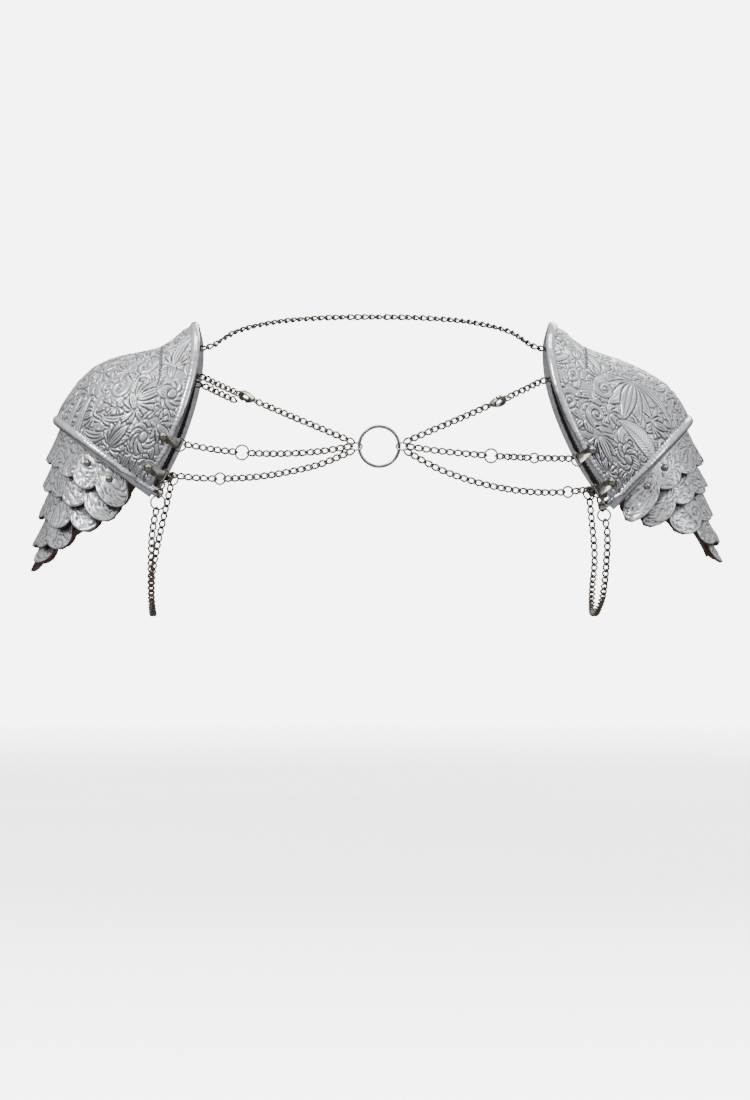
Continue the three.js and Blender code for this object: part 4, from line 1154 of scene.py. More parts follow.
def make_backing(side):
    name = side["name"]
    last = side["outline"][-1][0]
    degrees = np.linspace(-last, last, 97)
    length = side["wing_length"] * curve_through(side["outline"])(np.abs(degrees)) - BACKING_SHORTER_BY
    drop = -WING_TUCK + np.linspace(0, 1, 33) * (WING_TUCK + length[:, None])
    turn = np.radians(degrees)[:, None]
    outer, inner = (on_side(side, wing_point(side, turn, drop, lift)) for lift in (0.0, -BACKING_LEATHER))
    points, faces, kinds = sheet_parts(outer, inner[::4, ::4], 4)
    piece = add_mesh(f"backing_sheet_{name}", points, faces, [leather_back, cut_edge, leather_back], kinds)
    wear(piece, "dark_leather", f"wing_backing_{name}")


def scale_shape(side, row, number, tips, roots, tilt, sheet):
    """One hanging scale: fine outer grid, coarser inner grid and how dark its face is, with painted shade
    below the row above.
    """
    _, end_degrees, count = side["rows"][row]
    pitch = 2 * end_degrees / count
    degrees = -end_degrees + (number + 0.5) * pitch
    turn = math.radians(degrees)
    root = roots[row]
    limit = side["wing_length"] * float(curve_through(side["outline"])(abs(degrees)))
    length = max(min(tips[row], limit) - root, SHORTEST_SCALE) + random.uniform(-1.5, 1.2)
    ahead, behind = (hem_point(side, np.array(turn + step)) for step in (0.01, -0.01))
    per_turn = np.linalg.norm(ahead - behind) / 0.02
    # The scale at the front corner is broader and hangs straighter, and hides the back of the wing
    spread, sweep = SCALE_SPREAD, SCALE_SWEEP
    if number == 0:
        spread, sweep = SCALE_SPREAD * CORNER_SPREAD, CORNER_SWEEP
    width = math.radians(pitch) * per_turn * spread
    angle = np.linspace(-math.pi / 2, math.pi / 2, SCALE_COLUMNS)[:, None]
    t = np.sin(angle)
    s = np.linspace(0, 1, SCALE_ROWS)[None, :]
    top = -3.0 if row else -1.0
    end = length - min(width * 0.5, length * 0.6) * (1 - np.cos(angle))
    drop = top + s * (end - top)
    share = np.clip(drop / length, 0, 1.2)
    toward_front = -math.copysign(1, turn)
    swing = random.uniform(-0.07, 0.07) + sweep * math.sin(abs(turn)) * toward_front * (1 if row else 0.8)
    lateral = t * width / 2 * (0.78 + 0.22 * smoothstep(share, 0.0, 0.5)) + swing * np.clip(drop, 0, None)
    curl = random.uniform(2.0, 4.2)
    # The edge toward the nearer corner lifts over the next scale, as shingles do
    twist = random.uniform(1.1, 2.1) * toward_front
    cup = random.uniform(0.2, 0.8)
    lift = CLEARANCE + tilt * np.clip(drop, -1, None) + curl * share**2.2
    lift = lift + (twist * t + abs(twist) * 0.6 + cup * (1 - t**2)) * share
    height, cavity = sheet
    u = lateral + random.uniform(15, FIELD_WIDTH - 25)
    v = drop + random.uniform(8, FIELD_HEIGHT - 35)
    rim = np.minimum(1 - np.abs(t), 1 - s)
    fade = smoothstep(rim, 0.0, 0.05)
    face = lift + SCALE_LEATHER + sampled(height, u, v) * SCALE_RELIEF * fade - 0.3 * (1 - fade)
    drawn_in = 1 - CUT_EDGE_SHOWS / (width / 2)
    outer = wing_point(side, turn + lateral / per_turn * drawn_in, root + drop - CUT_EDGE_SHOWS * s, face)
    inner = wing_point(side, turn + lateral / per_turn, root + drop, lift)
    # Painted shade: the face is darkened in colour where the row above overlaps it and just below its tips
    shaded_by_row_above = 0.8 * (1 - smoothstep(drop, ROW_OVERLAP - 1, ROW_OVERLAP + 3)) * (row > 0)
    dark = np.maximum(sampled(cavity, u, v) * fade, shaded_by_row_above)
    return on_side(side, outer), on_side(side, inner[::SCALE_COARSE, ::SCALE_COARSE]), dark


def make_scale_rows(side, sheet):
    name = side["name"]
    tips, roots, tilt = row_layout(side)
    for row, (_, _, count) in enumerate(side["rows"]):
        scales, kinds, values = [], [], []
        for number in range(count):
            outer, inner, dark = scale_shape(side, row, number, tips, roots, tilt, sheet)
            points, faces, scale_kinds = sheet_parts(outer, inner, SCALE_COARSE)
            scales.append((points, faces))
            kinds += scale_kinds
            # The darkness, painted shade included, goes into the cavity attribute that greys the foil
            values += [*dark.ravel(), *np.zeros(inner.size // 3)]
        piece = add_mesh(f"scales_{name}_{row + 1}", *merged(scales), LEATHERS, kinds, values)
        wear(piece, "silver_leather", f"scale_row_{name}_{row + 1}")


# Small fittings, modelled once at the origin in millimetres and copied to their places


def deselect():
    for other in bpy.context.view_layer.objects:
        other.select_set(False)


def take(made):
    deselect()
    made.select_set(True)
    bpy.context.view_layer.objects.active = made


def apply_modifiers(made):
    take(made)
    for modifier in list(made.modifiers):
        bpy.ops.object.modifier_apply(modifier=modifier.name)


def bevelled(made, width, segments=2):
    modifier = made.modifiers.new("edges", "BEVEL")
    modifier.width = width
    modifier.segments = segments
    modifier.limit_method = "ANGLE"
    modifier.angle_limit = math.radians(35)
    apply_modifiers(made)


def boolean(made, cutter, operation):
    modifier = made.modifiers.new(operation.lower(), "BOOLEAN")
    modifier.operation = operation
    modifier.object = cutter
    apply_modifiers(made)
    bpy.data.objects.remove(cutter)


def block(low, high):
    """A box between two corners, from a cube sized and moved in edit mode."""
    deselect()
    bpy.ops.mesh.primitive_cube_add(size=1)
    made = bpy.context.object
    bpy.ops.object.mode_set(mode="EDIT")
    bpy.ops.mesh.select_all(action="SELECT")
    bpy.ops.transform.resize(value=tuple(h - l for l, h in zip(low, high)))
    bpy.ops.transform.translate(value=tuple((h + l) / 2 for l, h in zip(low, high)))
    bpy.ops.object.mode_set(mode="OBJECT")
    return made


def rod(radius, depth, centre, axis="Z", sides=32):
    """A cylinder about an axis."""
    turns = {"X": (0, math.pi / 2, 0), "Y": (math.pi / 2, 0, 0), "Z": (0, 0, 0)}
    deselect()
    bpy.ops.mesh.primitive_cylinder_add(
        vertices=sides, radius=radius, depth=depth, location=centre, rotation=turns[axis]
    )
    made = bpy.context.object
    bpy.ops.object.transform_apply(location=True, rotation=True, scale=True)
    return made


def hoop(radius, wire, centre=(0, 0, 0), turn=(0, 0, 0), steps=40, sides=10):
    """A round wire ring."""
    deselect()
    bpy.ops.mesh.primitive_torus_add(
        major_radius=radius, minor_radius=wire / 2, major_segments=steps, minor_segments=sides,
        location=centre, rotation=turn,
    )
    made = bpy.context.object
    bpy.ops.object.transform_apply(location=True, rotation=True, scale=True)
    return made


def dome(radius, height, base):
    """A domed rivet head on the Y axis, from a sphere flattened and cut level."""
    deselect()
    bpy.ops.mesh.primitive_uv_sphere_add(segments=28, ring_count=16, radius=radius)
    made = bpy.context.object
    bpy.ops.object.mode_set(mode="EDIT")
    bpy.ops.mesh.select_all(action="SELECT")
    bpy.ops.transform.resize(value=(1, height / radius, 1))
    bpy.ops.mesh.bisect(plane_co=(0, 0, 0), plane_no=(0, 1, 0), use_fill=True, clear_inner=True)
    bpy.ops.mesh.select_all(action="SELECT")
    bpy.ops.transform.translate(value=(0, base, 0))
    bpy.ops.object.mode_set(mode="OBJECT")
    return made


def joined(*pieces):
    deselect()
    for piece in pieces:
        piece.select_set(True)
    bpy.context.view_layer.objects.active = pieces[0]
    bpy.ops.object.join()
    return pieces[0]


def shaded(made):
    take(made)
    bpy.ops.object.shade_smooth_by_angle(angle=math.radians(40))
    return made


def painted(made, material):
    made.data.materials.clear()
    made.data.materials.append(material)
    return made


def as_pattern(made):
    """Keeps a modelled shape's mesh and takes its object away."""
    mesh = made.data
    bpy.data.objects.remove(made)
    return mesh


def copy_at(pattern, name, matrix):
    """A copy of a shape modelled in millimetres, laid in its place in metres."""
    mesh = pattern.copy()
    mesh.name = name
    placed = Matrix(matrix.tolist())
    placed.translation *= MM
    mesh.transform(placed @ Matrix.Diagonal((MM, MM, MM, 1)))
    if np.linalg.det(matrix[:3, :3]) < 0:
        mesh.flip_normals()
    made = bpy.data.objects.new(name, mesh)
    bpy.context.scene.collection.objects.link(made)
    return made


BARREL_BORE = EDGE_RING_WIRE / 2 + CLEARANCE
BARREL_RADIUS = BARREL_BORE + CLIP_PLATE
BARREL_INTO = -(CLEARANCE + BINDING_SKIN + CLEARANCE + BARREL_RADIUS)
PLATE_FACE = BINDING_HALF + CLEARANCE
BARREL_OUT = PLATE_FACE + CLIP_PLATE - BARREL_RADIUS


def clip_pattern():
    """A folded sheet clip: a barrel round the ring's bar, a strap over the binding, a pad and a rivet."""
    half = CLIP_WIDTH / 2
    top = PLATE_FACE + CLIP_PLATE
    strap = block((BARREL_INTO, PLATE_FACE, -half), (CLIP_REACH, top, half))
    boolean(strap, rod(CLIP_PAD, CLIP_PLATE, (CLIP_REACH, PLATE_FACE + CLIP_PLATE / 2, 0), "Y"), "UNION")
    boolean(strap, rod(BARREL_RADIUS, CLIP_WIDTH, (BARREL_INTO, BARREL_OUT, 0)), "UNION")
    boolean(strap, rod(BARREL_BORE, CLIP_WIDTH * 2, (BARREL_INTO, BARREL_OUT, 0)), "DIFFERENCE")
    bevelled(strap, 0.18)
    washer = hoop(RIVET_RADIUS * 1.12, 0.6, (CLIP_REACH, top + 0.1, 0), (math.pi / 2, 0, 0))
    head = dome(RIVET_RADIUS * 1.06, RIVET_HEIGHT * 1.25, top - 0.05)
    take(head)
    bpy.ops.transform.translate(value=(CLIP_REACH, 0, 0))
    bpy.ops.object.transform_apply(location=True)
    shank_middle = (CLIP_REACH, (PLATE_FACE + CAP_LEATHER / 2) / 2, 0)
    shank = rod(SHANK_RADIUS, PLATE_FACE - CAP_LEATHER / 2 + 0.2, shank_middle, "Y", 16)
    painted(head, polished_nickel)
    for piece in (strap, washer, shank):
        painted(piece, sheet_nickel)
    return as_pattern(shaded(joined(strap, washer, head, shank)))


def rivet_pattern():
    """A domed rivet on a rolled flange, about the Y axis."""
    flange = rod(WING_RIVET_RADIUS, RIVET_FLANGE, (0, 0, 0), "Y", 36)
    bevelled(flange, 0.25, 3)
    head = dome(WING_RIVET_RADIUS * 0.84, RIVET_HEIGHT * 1.1, RIVET_FLANGE / 2 - 0.05)
    shank = rod(SHANK_RADIUS, SCALE_LEATHER + 1, (0, -SCALE_LEATHER / 2 - 0.6, 0), "Y", 16)
    painted(head, polished_nickel)
    painted(flange, sheet_nickel)
    painted(shank, sheet_nickel)
    return as_pattern(shaded(joined(flange, head, shank)))


def hook_pattern():
    """A riveted eye plate for the inside of the collar."""
    depth = -(CAP_LEATHER / 2 + HOOK_PLATE_GAP + HOOK_PLATE_THICKNESS / 2)
    half = HOOK_PLATE / 2
    thin = HOOK_PLATE_THICKNESS / 2
    plate = block((-half, depth - thin, -half), (half, depth + thin, half))
    bevelled(plate, 0.35, 3)
    eye = hoop(HOOK_EYE_RADIUS, HOOK_WIRE, (0, depth - HOOK_EYE_RADIUS, 0), (0, 0, 0), 36, 10)
    return as_pattern(shaded(painted(joined(plate, eye), sheet_nickel)))


def wire_loop(points, wire, plane_normal, sides=10):
    """Points and faces of a closed round wire through points in a plane."""
    across = unit(np.cross(plane_normal, np.roll(points, -1, 0) - np.roll(points, 1, 0)))
    angles = 2 * math.pi * np.arange(sides)[:, None] / sides
    spokes = across[:, None] * np.cos(angles) + plane_normal * np.sin(angles)
    return tube(points[:, None] + wire / 2 * spokes, looped=True)


def edge_ring_pattern():
    """A D-shaped wire ring: a round bow and a straight bar that turns in the clip's barrel."""
    reach = EDGE_RING_RADIUS
    corner = EDGE_RING_WIRE * 0.6
    bow = [
        (-EDGE_RING_WIRE - reach * math.sin(angle), reach * math.cos(angle))
        for angle in np.linspace(0, math.pi, 25)
    ]
    half_bar = [(0, reach - corner), (-corner * 0.3, reach - corner * 0.3), (-corner, reach)]
    bar = [*((into, -along) for into, along in reversed(half_bar)), (0, 0), *half_bar]
    line = np.array([(BARREL_INTO + into, BARREL_OUT, along) for into, along in [*bow, *bar]])
    points, faces = wire_loop(line, EDGE_RING_WIRE * 0.85, np.array([0.0, 1.0, 0.0]))
    mesh = bpy.data.meshes.new("edge_ring")
    mesh.from_pydata(points.tolist(), [], faces)
    mesh.polygons.foreach_set("use_smooth", np.full(len(faces), True))
    mesh.materials.append(chain_nickel)
    return mesh


def link_pattern():
    """A curb link: an oval wire ring twisted along its length, so that the chain lies flat."""
    angles = np.linspace(0, 2 * math.pi, 19)[:-1]
    half_length = (LINK_LENGTH - LINK_WIRE) / 2
    half_width = (LINK_WIDTH - LINK_WIRE) / 2
    line = np.stack([half_length * np.cos(angles), half_width * np.sin(angles), 0 * angles], -1)
    points, faces = wire_loop(line, LINK_WIRE, UP, 6)
    x, y, z = points.T
    twist = LINK_TWIST / 2 * x / half_length
    twisted = [x, y * np.cos(twist) - z * np.sin(twist), y * np.sin(twist) + z * np.cos(twist)]
    return np.stack(twisted, -1), faces


# Chains


def through(points):
    """A fine line through chosen points, as evenly bent as a hanging chain."""
    points = np.asarray(points, float)
    first = 2 * points[0] - points[1]
    last = 2 * points[-1] - points[-2]
    knots = np.concatenate([[first], points, [last]])
    line = []
    for i in range(len(points) - 1):
        p = knots[i : i + 4]
        gaps = np.maximum(np.linalg.norm(np.diff(p, axis=0), axis=1) ** 0.5, 1e-4)
        t = np.concatenate([[0], np.cumsum(gaps)])
        for at in np.linspace(t[1], t[2], 40, endpoint=i == len(points) - 2):
            a = [p[k] + (p[k + 1] - p[k]) * (at - t[k]) / (t[k + 1] - t[k]) for k in range(3)]
            b = [a[k] + (a[k + 1] - a[k]) * (at - t[k]) / (t[k + 2] - t[k]) for k in range(2)]
            line.append(b[0] + (b[1] - b[0]) * (at - t[1]) / (t[2] - t[1]))
    return np.array(line)


def line_length(line):
    return float(run_along(line)[-1])


def to_front(place):
    return FRONT


def from_arm(place):
    """Out of the loop that a chain makes under an arm."""
    return unit(np.array([0.0, place[1], place[2] - ARM_CENTRE_Z]))


def from_neck(place):
    return unit(np.array([0.0, 0.6, 0.8]))


def along_line(line, distance):
    """The place and heading at a distance along a line."""
    run = run_along(line)
    k = int(np.clip(np.searchsorted(run, distance), 1, len(line) - 1))
    return at_run(run, line, distance), unit(line[k] - line[k - 1])


link_points, link_faces = link_pattern()


def link_run(line, start, end, facing):
    """Interlocked links from one distance to another, each turned a little about the chain."""
    reach = (LINK_LENGTH - LINK_WIRE) / 2 - (LINK_WIRE + SMALL_RING_WIRE) / 2
    first, last = start + reach, end - reach
    count = max(int(round((last - first) / LINK_PITCH)) + 1, 1)
    links = []
    for at in np.linspace(first, last, count):
        place, heading = along_line(line, at)
        normal = squared(facing(place), heading)
        side = np.cross(normal, heading)
        roll = random.uniform(-LINK_ROLL, LINK_ROLL)
        across = side * math.cos(roll) + normal * math.sin(roll)
        up = normal * math.cos(roll) - side * math.sin(roll)
        links.append((link_points @ np.stack([heading, across, up]) + place, link_faces))
    return merged(links)


def ring_points(centre, radius, wire, normal, heading):
    """A round ring in a chain: its points and faces."""
    side = squared(heading, normal)
    other = np.cross(normal, side)
    angles = np.linspace(0, 2 * math.pi, 33)[:-1, None]
    line = centre + radius * (np.cos(angles) * side + np.sin(angles) * other)
    return wire_loop(line, wire, normal, 8)


def chain_piece(name, parts):
    wear(add_mesh(f"links_{name}", *merged(parts), [chain_nickel]), "warm_nickel", name)


def ringed_chain(name, points, rings, facing, lead_in=0.0, lead_out=0.0):
    """A chain with rings let into it. The leads reach on to the wires that hold its ends."""
    line = through(points)
    length = line_length(line)
    parts = []
    start = -lead_in
    for share, radius in rings:
        centre, heading = along_line(line, share * length)
        parts.append(link_run(line, start, share * length - radius, facing))
        parts.append(ring_points(centre, radius, SMALL_RING_WIRE, squared(facing(centre), heading), heading))
        start = share * length + radius
    parts.append(link_run(line, start, length + lead_out, facing))
    chain_piece(name, parts)


def draped(start, end, sag, bow):
    points = []
    for t in np.linspace(0, 1, 7):
        hump = 4 * t * (1 - t)
        points.append(start + (end - start) * t + np.array([0, -bow * hump, -sag * hump]))
    return points


RINGS_OVERLAP = (SMALL_RING_WIRE + CENTRE_RING_WIRE) / 2 + CLEARANCE
JOINING_OFFSET = CENTRE_RING_RADIUS + SMALL_RING_RADIUS - RINGS_OVERLAP


def strand_start(side, name):
    rise, forward, _ = STRANDS[name]
    beside = JOINING_OFFSET + SMALL_RING_RADIUS + SMALL_RING_WIRE / 2 + CLEARANCE
    return CENTRE + np.array([side["sign"] * beside, -forward, rise])


def edge_ring_point(side, place, toward):
    matrix = fitting_matrix(side, place)
    bow = np.array([BARREL_INTO - EDGE_RING_WIRE, BARREL_OUT, 0])
    direction = np.linalg.inv(matrix) @ np.append(toward, 1)
    direction = direction[:3] - bow
    direction[0] = min(direction[0], 0)
    reach = EDGE_RING_RADIUS + EDGE_RING_WIRE / 2 + 2 * CLEARANCE
    return moved(matrix, bow + unit(direction) * reach)


def hook_frame(side, turn):
    edge = edge_frame(side, turn, 0)
    at = np.atleast_1d(turn)
    nearest = BINDING_DEPTH + 2 * BINDING_PLAY + HOOK_PLATE / 2
    point, further = (
        across_from_edge(side, at, 0, edge["point"], edge["along"], distance)
        for distance in (nearest, nearest + HOOK_PLATE / 2)
    )
    inward = squared(further - point, edge["along"])
    return one({"point": point, "inward": inward, "out": np.cross(inward, edge["along"])})


def collar_exit(side, place):
    matrix = fitting_matrix(side, place)
    depth = -(CAP_LEATHER / 2 + HOOK_PLATE_GAP + HOOK_PLATE_THICKNESS / 2) - HOOK_EYE_RADIUS
    reach = HOOK_EYE_RADIUS + HOOK_WIRE / 2 + 2 * CLEARANCE
    hook = moved(matrix, (-reach * math.sqrt(0.5), depth - reach * math.sqrt(0.5), 0))
    beyond = BINDING_DEPTH + BINDING_PLAY + HOOK_PLATE / 2 + CHAIN_WIDTH
    return hook, moved(matrix, (-beyond, depth - PASS_DEPTH, 0))


def clasp_matrix(start, heading, roll):
    """Lays a clasp along a chain: X along it, Z to the front and rolled about it."""
    along = unit(heading)
    front = squared(FRONT, along)
    front = front * math.cos(roll) + np.cross(along, front) * math.sin(roll)
    return placement(along, np.cross(front, along), front, start)


CLASP_END = CLASP_LENGTH - CLASP_EYE_RADIUS - CLASP_WALL
RING_LEAD = EDGE_RING_WIRE / 2 + 2 * CLEARANCE
TAIL_ENDS_SHORT_BY = 1.0
BODY_BEVEL = 0.3
LEVER_BEVEL = 0.18


def dressed_node(name, body, bevel):
    """A clasp's casting, whose shape is right: a smooth-edged polished copy stands in its place."""
    made = bpy.data.objects.new(f"{name}_cast", frame["nodes"][name].data.copy())
    bpy.context.scene.collection.objects.link(made)
    take(made)
    bpy.ops.object.mode_set(mode="EDIT")
    bpy.ops.mesh.select_all(action="SELECT")
    bpy.ops.mesh.remove_doubles(threshold=0.00001)
    bpy.ops.mesh.dissolve_limited(angle_limit=math.radians(3))
    bpy.ops.object.mode_set(mode="OBJECT")
    bevelled(made, bevel * MM, 2)
    painted(shaded(made), polished_nickel)
    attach(made, body)
    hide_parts(name)


def joining_rim(side, angle):
    """A point of a side's joining ring: the ring's middle, or the wire at an angle up from level."""
    rim = CENTRE + np.array([side["sign"] * JOINING_OFFSET, 0, 0])
    if angle is None:
        return rim
    return rim + SMALL_RING_RADIUS * np.array([side["sign"] * math.cos(angle), 0, math.sin(angle)])


def make_fittings(side, patterns, clip_places, hook_places):
    """The clips and rings on the collar's edge, and the eye plates inside it."""
    name = side["name"]
    for spot, place in clip_places.items():
        matrix = fitting_matrix(side, place)
        clip = copy_at(patterns["clip"], f"riveted_clip_{name}_{spot}", matrix)
        wear(clip, "dark_nickel", f"ring_clip_{name}_{spot}")
        ring = copy_at(patterns["edge_ring"], f"wire_ring_{name}_{spot}", matrix)
        wear(ring, "warm_nickel", f"edge_ring_{name}_{spot}")
    for spot, place in hook_places.items():
        hook = copy_at(patterns["hook"], f"eye_plate_{name}_{spot}", fitting_matrix(side, place))
        wear(hook, "dark_nickel", f"collar_hook_{name}_{spot}")


def make_upper_strand(side, front_hook):
    """The strand with the clasp, its chain into the collar, and on the left a spare tail beside it."""
    name = side["name"]
    hook, beyond = collar_exit(side, front_hook)
    drawn = draped(strand_start(side, "upper"), beyond, UPPER_SAG, STRANDS["upper"][2])
    line = through(drawn)
    beyond_clasp = (1 - side["clasp_at"]) * line_length(line)
    clasp_start, heading = along_line(line, side["clasp_at"] * line_length(line))
    place = clasp_matrix(clasp_start, heading, side["sign"] * CLASP_ROLL)
    upper = through([joining_rim(side, STRAND_FAN), *drawn[1:]])
    upper_end = line_length(upper) - beyond_clasp - 2 * BASE_EYE_RADIUS
    chain_piece(f"chain_{name}_upper", [link_run(upper, 0.0, upper_end, to_front)])
    # The ring hangs in the clasp's hook, its wire bowed a little within the clasp's thickness
    ring_bow = CLASP_RING_RADIUS - math.sqrt(CLASP_RING_RADIUS**2 - (CLASP_THICKNESS / 2) ** 2)
    wire_at = CLASP_END + CLASP_EYE_RADIUS - SMALL_RING_WIRE / 2 - CLEARANCE - ring_bow
    ring_centre = moved(place, (wire_at + CLASP_RING_RADIUS, 0, 0))
    start = ring_centre + heading * (CLASP_RING_RADIUS - SMALL_RING_WIRE / 4)
    route = [start, (start + beyond) / 2, beyond, hook]
    collar = through(route)
    ring = ring_points(ring_centre, CLASP_RING_RADIUS, SMALL_RING_WIRE, place[:3, 1], heading)
    links = link_run(collar, -CLEARANCE, line_length(collar) + RING_LEAD, to_front)
    chain_piece(f"chain_{name}_collar", [ring, links])
    if name == "left":
        aside = np.array([0, 0, -(CHAIN_WIDTH + TAIL_GAP)])
        tail = through([point + aside for point in route])
        tail_end = line_length(tail) - TAIL_ENDS_SHORT_BY
        chain_piece("chain_left_tail", [link_run(tail, 0.0, tail_end, to_front)])
    dressed_node(f"clasp_body_{name}", "root", BODY_BEVEL)
    dressed_node(f"clasp_lever_{name}", f"lever_{name}", LEVER_BEVEL)


def make_harness(side, patterns):
    """The fittings, rings and chains of one side. Returns where the back chain meets it."""
    name = side["name"]
    middle, lower = (
        one(edge_frame(side, turn_at_share(side, side[clip]), 0)) for clip in ("middle_clip", "lower_clip")
    )
    clip_places = {"middle": middle, "lower": lower, "back": to_back(lower)}
    hook_places = {
        "front": hook_frame(side, turn_at_share(side, FRONT_HOOK_AT)),
        "back": to_back(hook_frame(side, turn_at_share(side, BACK_HOOK_AT))),
    }
    make_fittings(side, patterns, clip_places, hook_places)
    for strand, angle in (("middle", 0.0), ("lower", -STRAND_FAN)):
        drawn_from = strand_start(side, strand)
        end = edge_ring_point(side, clip_places[strand], drawn_from)
        drawn = draped(drawn_from, end, side[f"{strand}_sag"], STRANDS[strand][2])
        points = [joining_rim(side, angle), *drawn[1:]]
        ringed_chain(f"chain_{name}_{strand}", points, side[f"{strand}_rings"], to_front, 0.0, RING_LEAD)
    out_at = 2 if name == "left" else 3
    route = [np.array([side["sign"] * row[out_at], row[0], row[1]], float) for row in UNDER_ARM]
    start = edge_ring_point(side, lower, route[0])
    end = edge_ring_point(side, clip_places["back"], route[-1])
    points = [start, *route, end]
    ringed_chain(f"chain_{name}_under_arm", points, side["under_arm_rings"], from_arm, RING_LEAD, RING_LEAD)
    make_upper_strand(side, hook_places["front"])
    ring = hoop(SMALL_RING_RADIUS, SMALL_RING_WIRE, (0, 0, 0), (JOINING_TILT, 0, 0), 36, 10)
    place_ring(ring, f"jump_ring_{name}", joining_rim(side, None), f"joining_ring_{name}")
    return collar_exit(side, hook_places["back"])


def place_ring(ring, name, centre, stands_for):
    """Moves a ring modelled at the origin to its place and polishes it."""
    ring = as_pattern(shaded(painted(ring, polished_nickel)))
    wear(copy_at(ring, name, placement(*np.eye(3), centre)), "warm_nickel", stands_for)


def make_wing_rivets(side, pattern):
    name = side["name"]
    _, roots, tilt = row_layout(side)
    for number, (degrees, drop) in enumerate(WING_RIVETS, 1):
        turn = np.array(math.radians(degrees))
        lift = CLEARANCE + tilt * (drop - roots[0]) + SCALE_LEATHER + RIVET_FLANGE / 2 + 2 * CLEARANCE
        point = wing_point(side, turn, drop, lift)
        inward = unit(wing_point(side, turn, drop + 1, lift + tilt) - point)
        place = {"point": point, "inward": inward, "out": squared(wing_out(side, turn), inward)}
        rivet = copy_at(pattern, f"domed_rivet_{name}_{number}", fitting_matrix(side, place))
        wear(rivet, "dark_nickel", f"wing_rivet_{name}_{number}")


def make_centre_ring():
    ring = hoop(CENTRE_RING_RADIUS, CENTRE_RING_WIRE, (0, 0, 0), (math.pi / 2, 0, 0), 72, 16)
    place_ring(ring, "big_ring", CENTRE, "centre_ring")


def make_back_chain(back_ends):
    (left_hook, left_pass), (right_hook, right_pass) = back_ends
    points = [left_hook, left_pass, *np.array(BACK_CHAIN, float), right_pass, right_hook]
    line = through(points)
    chain_piece("chain_back", [link_run(line, -RING_LEAD, line_length(line) + RING_LEAD, from_neck)])


# Camera, light and floor

CAMERA_DISTANCE = 3.0
PHOTO_HEIGHT_MM = 792.0
PHOTO_CENTRE = (1.4, -139.7)
SENSOR = 36.0
BACKGROUND = (6.5, 6.5, 6.5, 1.0)
# Brightness of the room in the silver, from straight below to straight above
ROOM = [(0.0, 0.2), (0.42, 0.08), (0.53, 0.27), (0.7, 0.9), (1.0, 1.15)]
FLOOR_Z = -0.33
FLOOR_SIZE = 12
FLOOR_FADES_FROM = 0.7
FLOOR_FADES_TO = 1.7
FLOOR_GLOW = 2.2


def make_camera():
    data = bpy.data.cameras.new("camera")
    data.sensor_width = SENSOR
    data.lens = SENSOR * CAMERA_DISTANCE / (PHOTO_HEIGHT_MM * MM)
    data.clip_end = 50
    camera = bpy.data.objects.new("camera", data)
    bpy.context.scene.collection.objects.link(camera)
    camera.location = (PHOTO_CENTRE[0] * MM, -CAMERA_DISTANCE, PHOTO_CENTRE[1] * MM)
    camera.rotation_euler = (math.pi / 2, 0, 0)
    bpy.context.scene.camera = camera


def soft_box(name, place, size, energy, tone):
    data = bpy.data.lights.new(name, "AREA")
    data.shape = "RECTANGLE"
    data.size, data.size_y = size
    data.energy = energy
    data.color = colour(tone)[:3]
    lamp = bpy.data.objects.new(name, data)
    bpy.context.scene.collection.objects.link(lamp)
    lamp.location = place
    aim = Vector((0, 0, -0.08)) - Vector(place)
    lamp.rotation_euler = aim.to_track_quat("-Z", "Y").to_euler()


def make_studio():
    world = bpy.data.worlds.new("studio")
    bpy.context.scene.world = world
    world.use_nodes = True
    tree = world.node_tree
    tree.nodes.clear()
    direction = node(tree, "ShaderNodeTexCoord").outputs["Generated"]
    height = node(tree, "ShaderNodeSeparateXYZ", links={"Vector": direction}).outputs["Z"]
    share = node(tree, "ShaderNodeMapRange", {"From Min": -1.0, "From Max": 1.0}, {"Value": height})
    room = ramp(tree, share.outputs["Result"], [(position, grey(value)) for position, value in ROOM])
    seen = node(tree, "ShaderNodeLightPath").outputs["Is Camera Ray"]
    shade = mixed(tree, seen, room.outputs["Color"], BACKGROUND)
    background = node(tree, "ShaderNodeBackground", {"Strength": 1.0}, {"Color": shade})
    output = node(tree, "ShaderNodeOutputWorld", links={"Surface": background.outputs["Background"]})
    output.is_active_output = True
    soft_box("key", (-1.2, -1.2, 1.6), (0.6, 0.6), 24, "#ffffff")
    soft_box("fill", (1.8, -1.0, 0.9), (0.6, 1.2), 8, "#f6f8ff")
    soft_box("top", (0, 0.1, 1.8), (1.6, 0.7), 15, "#ffffff")
    soft_box("rim", (0.6, 1.6, 0.9), (1.2, 0.8), 10, "#ffffff")


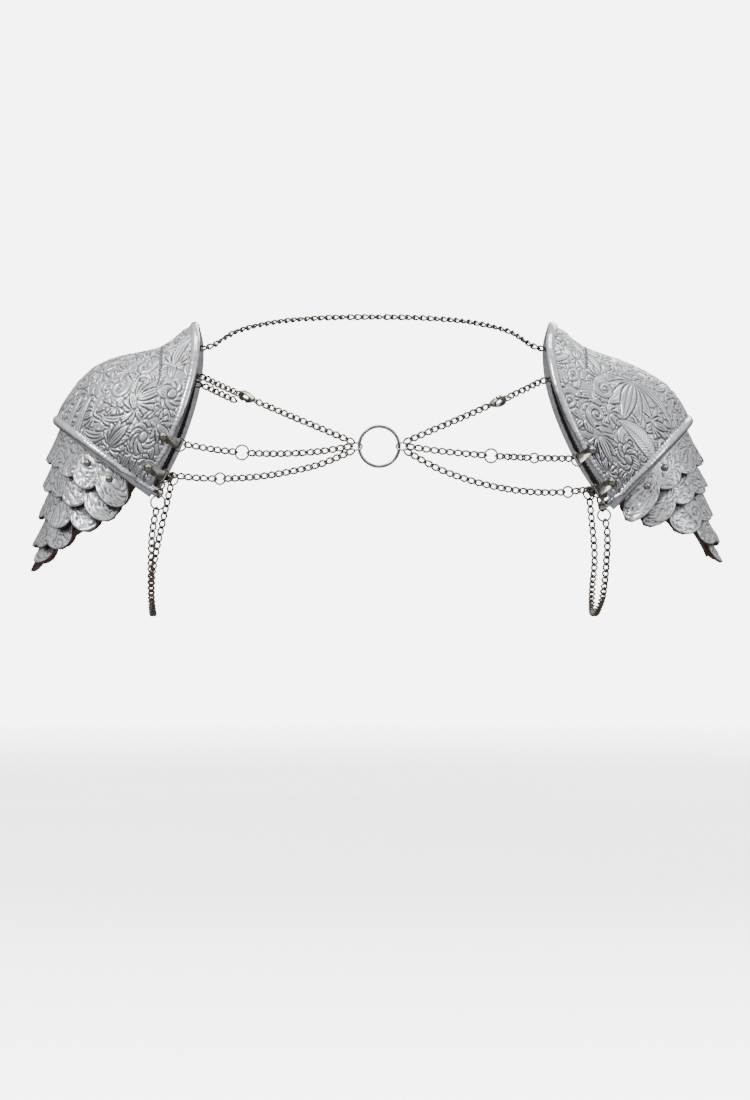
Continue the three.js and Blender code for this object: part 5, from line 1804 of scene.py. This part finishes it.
def make_floor():
    deselect()
    bpy.ops.mesh.primitive_plane_add(size=FLOOR_SIZE, location=(0, 0, FLOOR_Z))
    floor = bpy.context.object
    floor.name = "floor"
    bpy.ops.object.transform_apply(location=True)
    # A smooth pale sheet, faintly clouded
    made, tree, shader, coordinates = new_material("pale_studio_floor", 0.9, 0.0)
    tones = ramp(tree, noise(tree, coordinates, 400, 2), [(0.3, "#ececec"), (0.7, "#f2f2f2")])
    # Seen in the silver the floor is dim, as a room's floor is, and seen from the camera it glows a little
    shown = node(tree, "ShaderNodeLightPath").outputs["Is Camera Ray"]
    shade = mixed(tree, shown, colour("#77777a"), tones.outputs["Color"])
    tree.links.new(shade, shader.inputs["Base Color"])
    glow = node(tree, "ShaderNodeMath", {"operation": "MULTIPLY"}, {0: shown})
    glow.inputs[1].default_value = FLOOR_GLOW
    tree.links.new(glow.outputs["Value"], shader.inputs["Emission Strength"])
    shader.inputs["Emission Color"].default_value = colour("#ffffff")
    # It fades into the background before it can show an edge
    away = node(tree, "ShaderNodeVectorMath", {"operation": "LENGTH"}, {"Vector": coordinates})
    limits = {"From Min": FLOOR_FADES_FROM, "From Max": FLOOR_FADES_TO, "To Min": 1.0, "To Max": 0.0}
    seen = node(tree, "ShaderNodeMapRange", limits, {"Value": away.outputs["Value"]})
    tree.links.new(seen.outputs["Result"], shader.inputs["Alpha"])
    floor.data.materials.append(made)


make_camera()
make_studio()
make_floor()
fittings = {"clip": clip_pattern(), "edge_ring": edge_ring_pattern(), "hook": hook_pattern()}
rivet = rivet_pattern()
back_ends = []
for number, side in enumerate(SIDES):
    clips = [math.degrees(turn_at_share(side, side[spot])) for spot in ("middle_clip", "lower_clip")]
    sheet = make_cap(side, number)
    make_binding(side, 0, "collar_binding", [*clips, -clips[1]])
    make_binding(side, 1, "hem_binding", [])
    make_backing(side)
    make_scale_rows(side, sheet)
    make_wing_rivets(side, rivet)
    back_ends.append(make_harness(side, fittings))
make_centre_ring()
make_back_chain(back_ends)
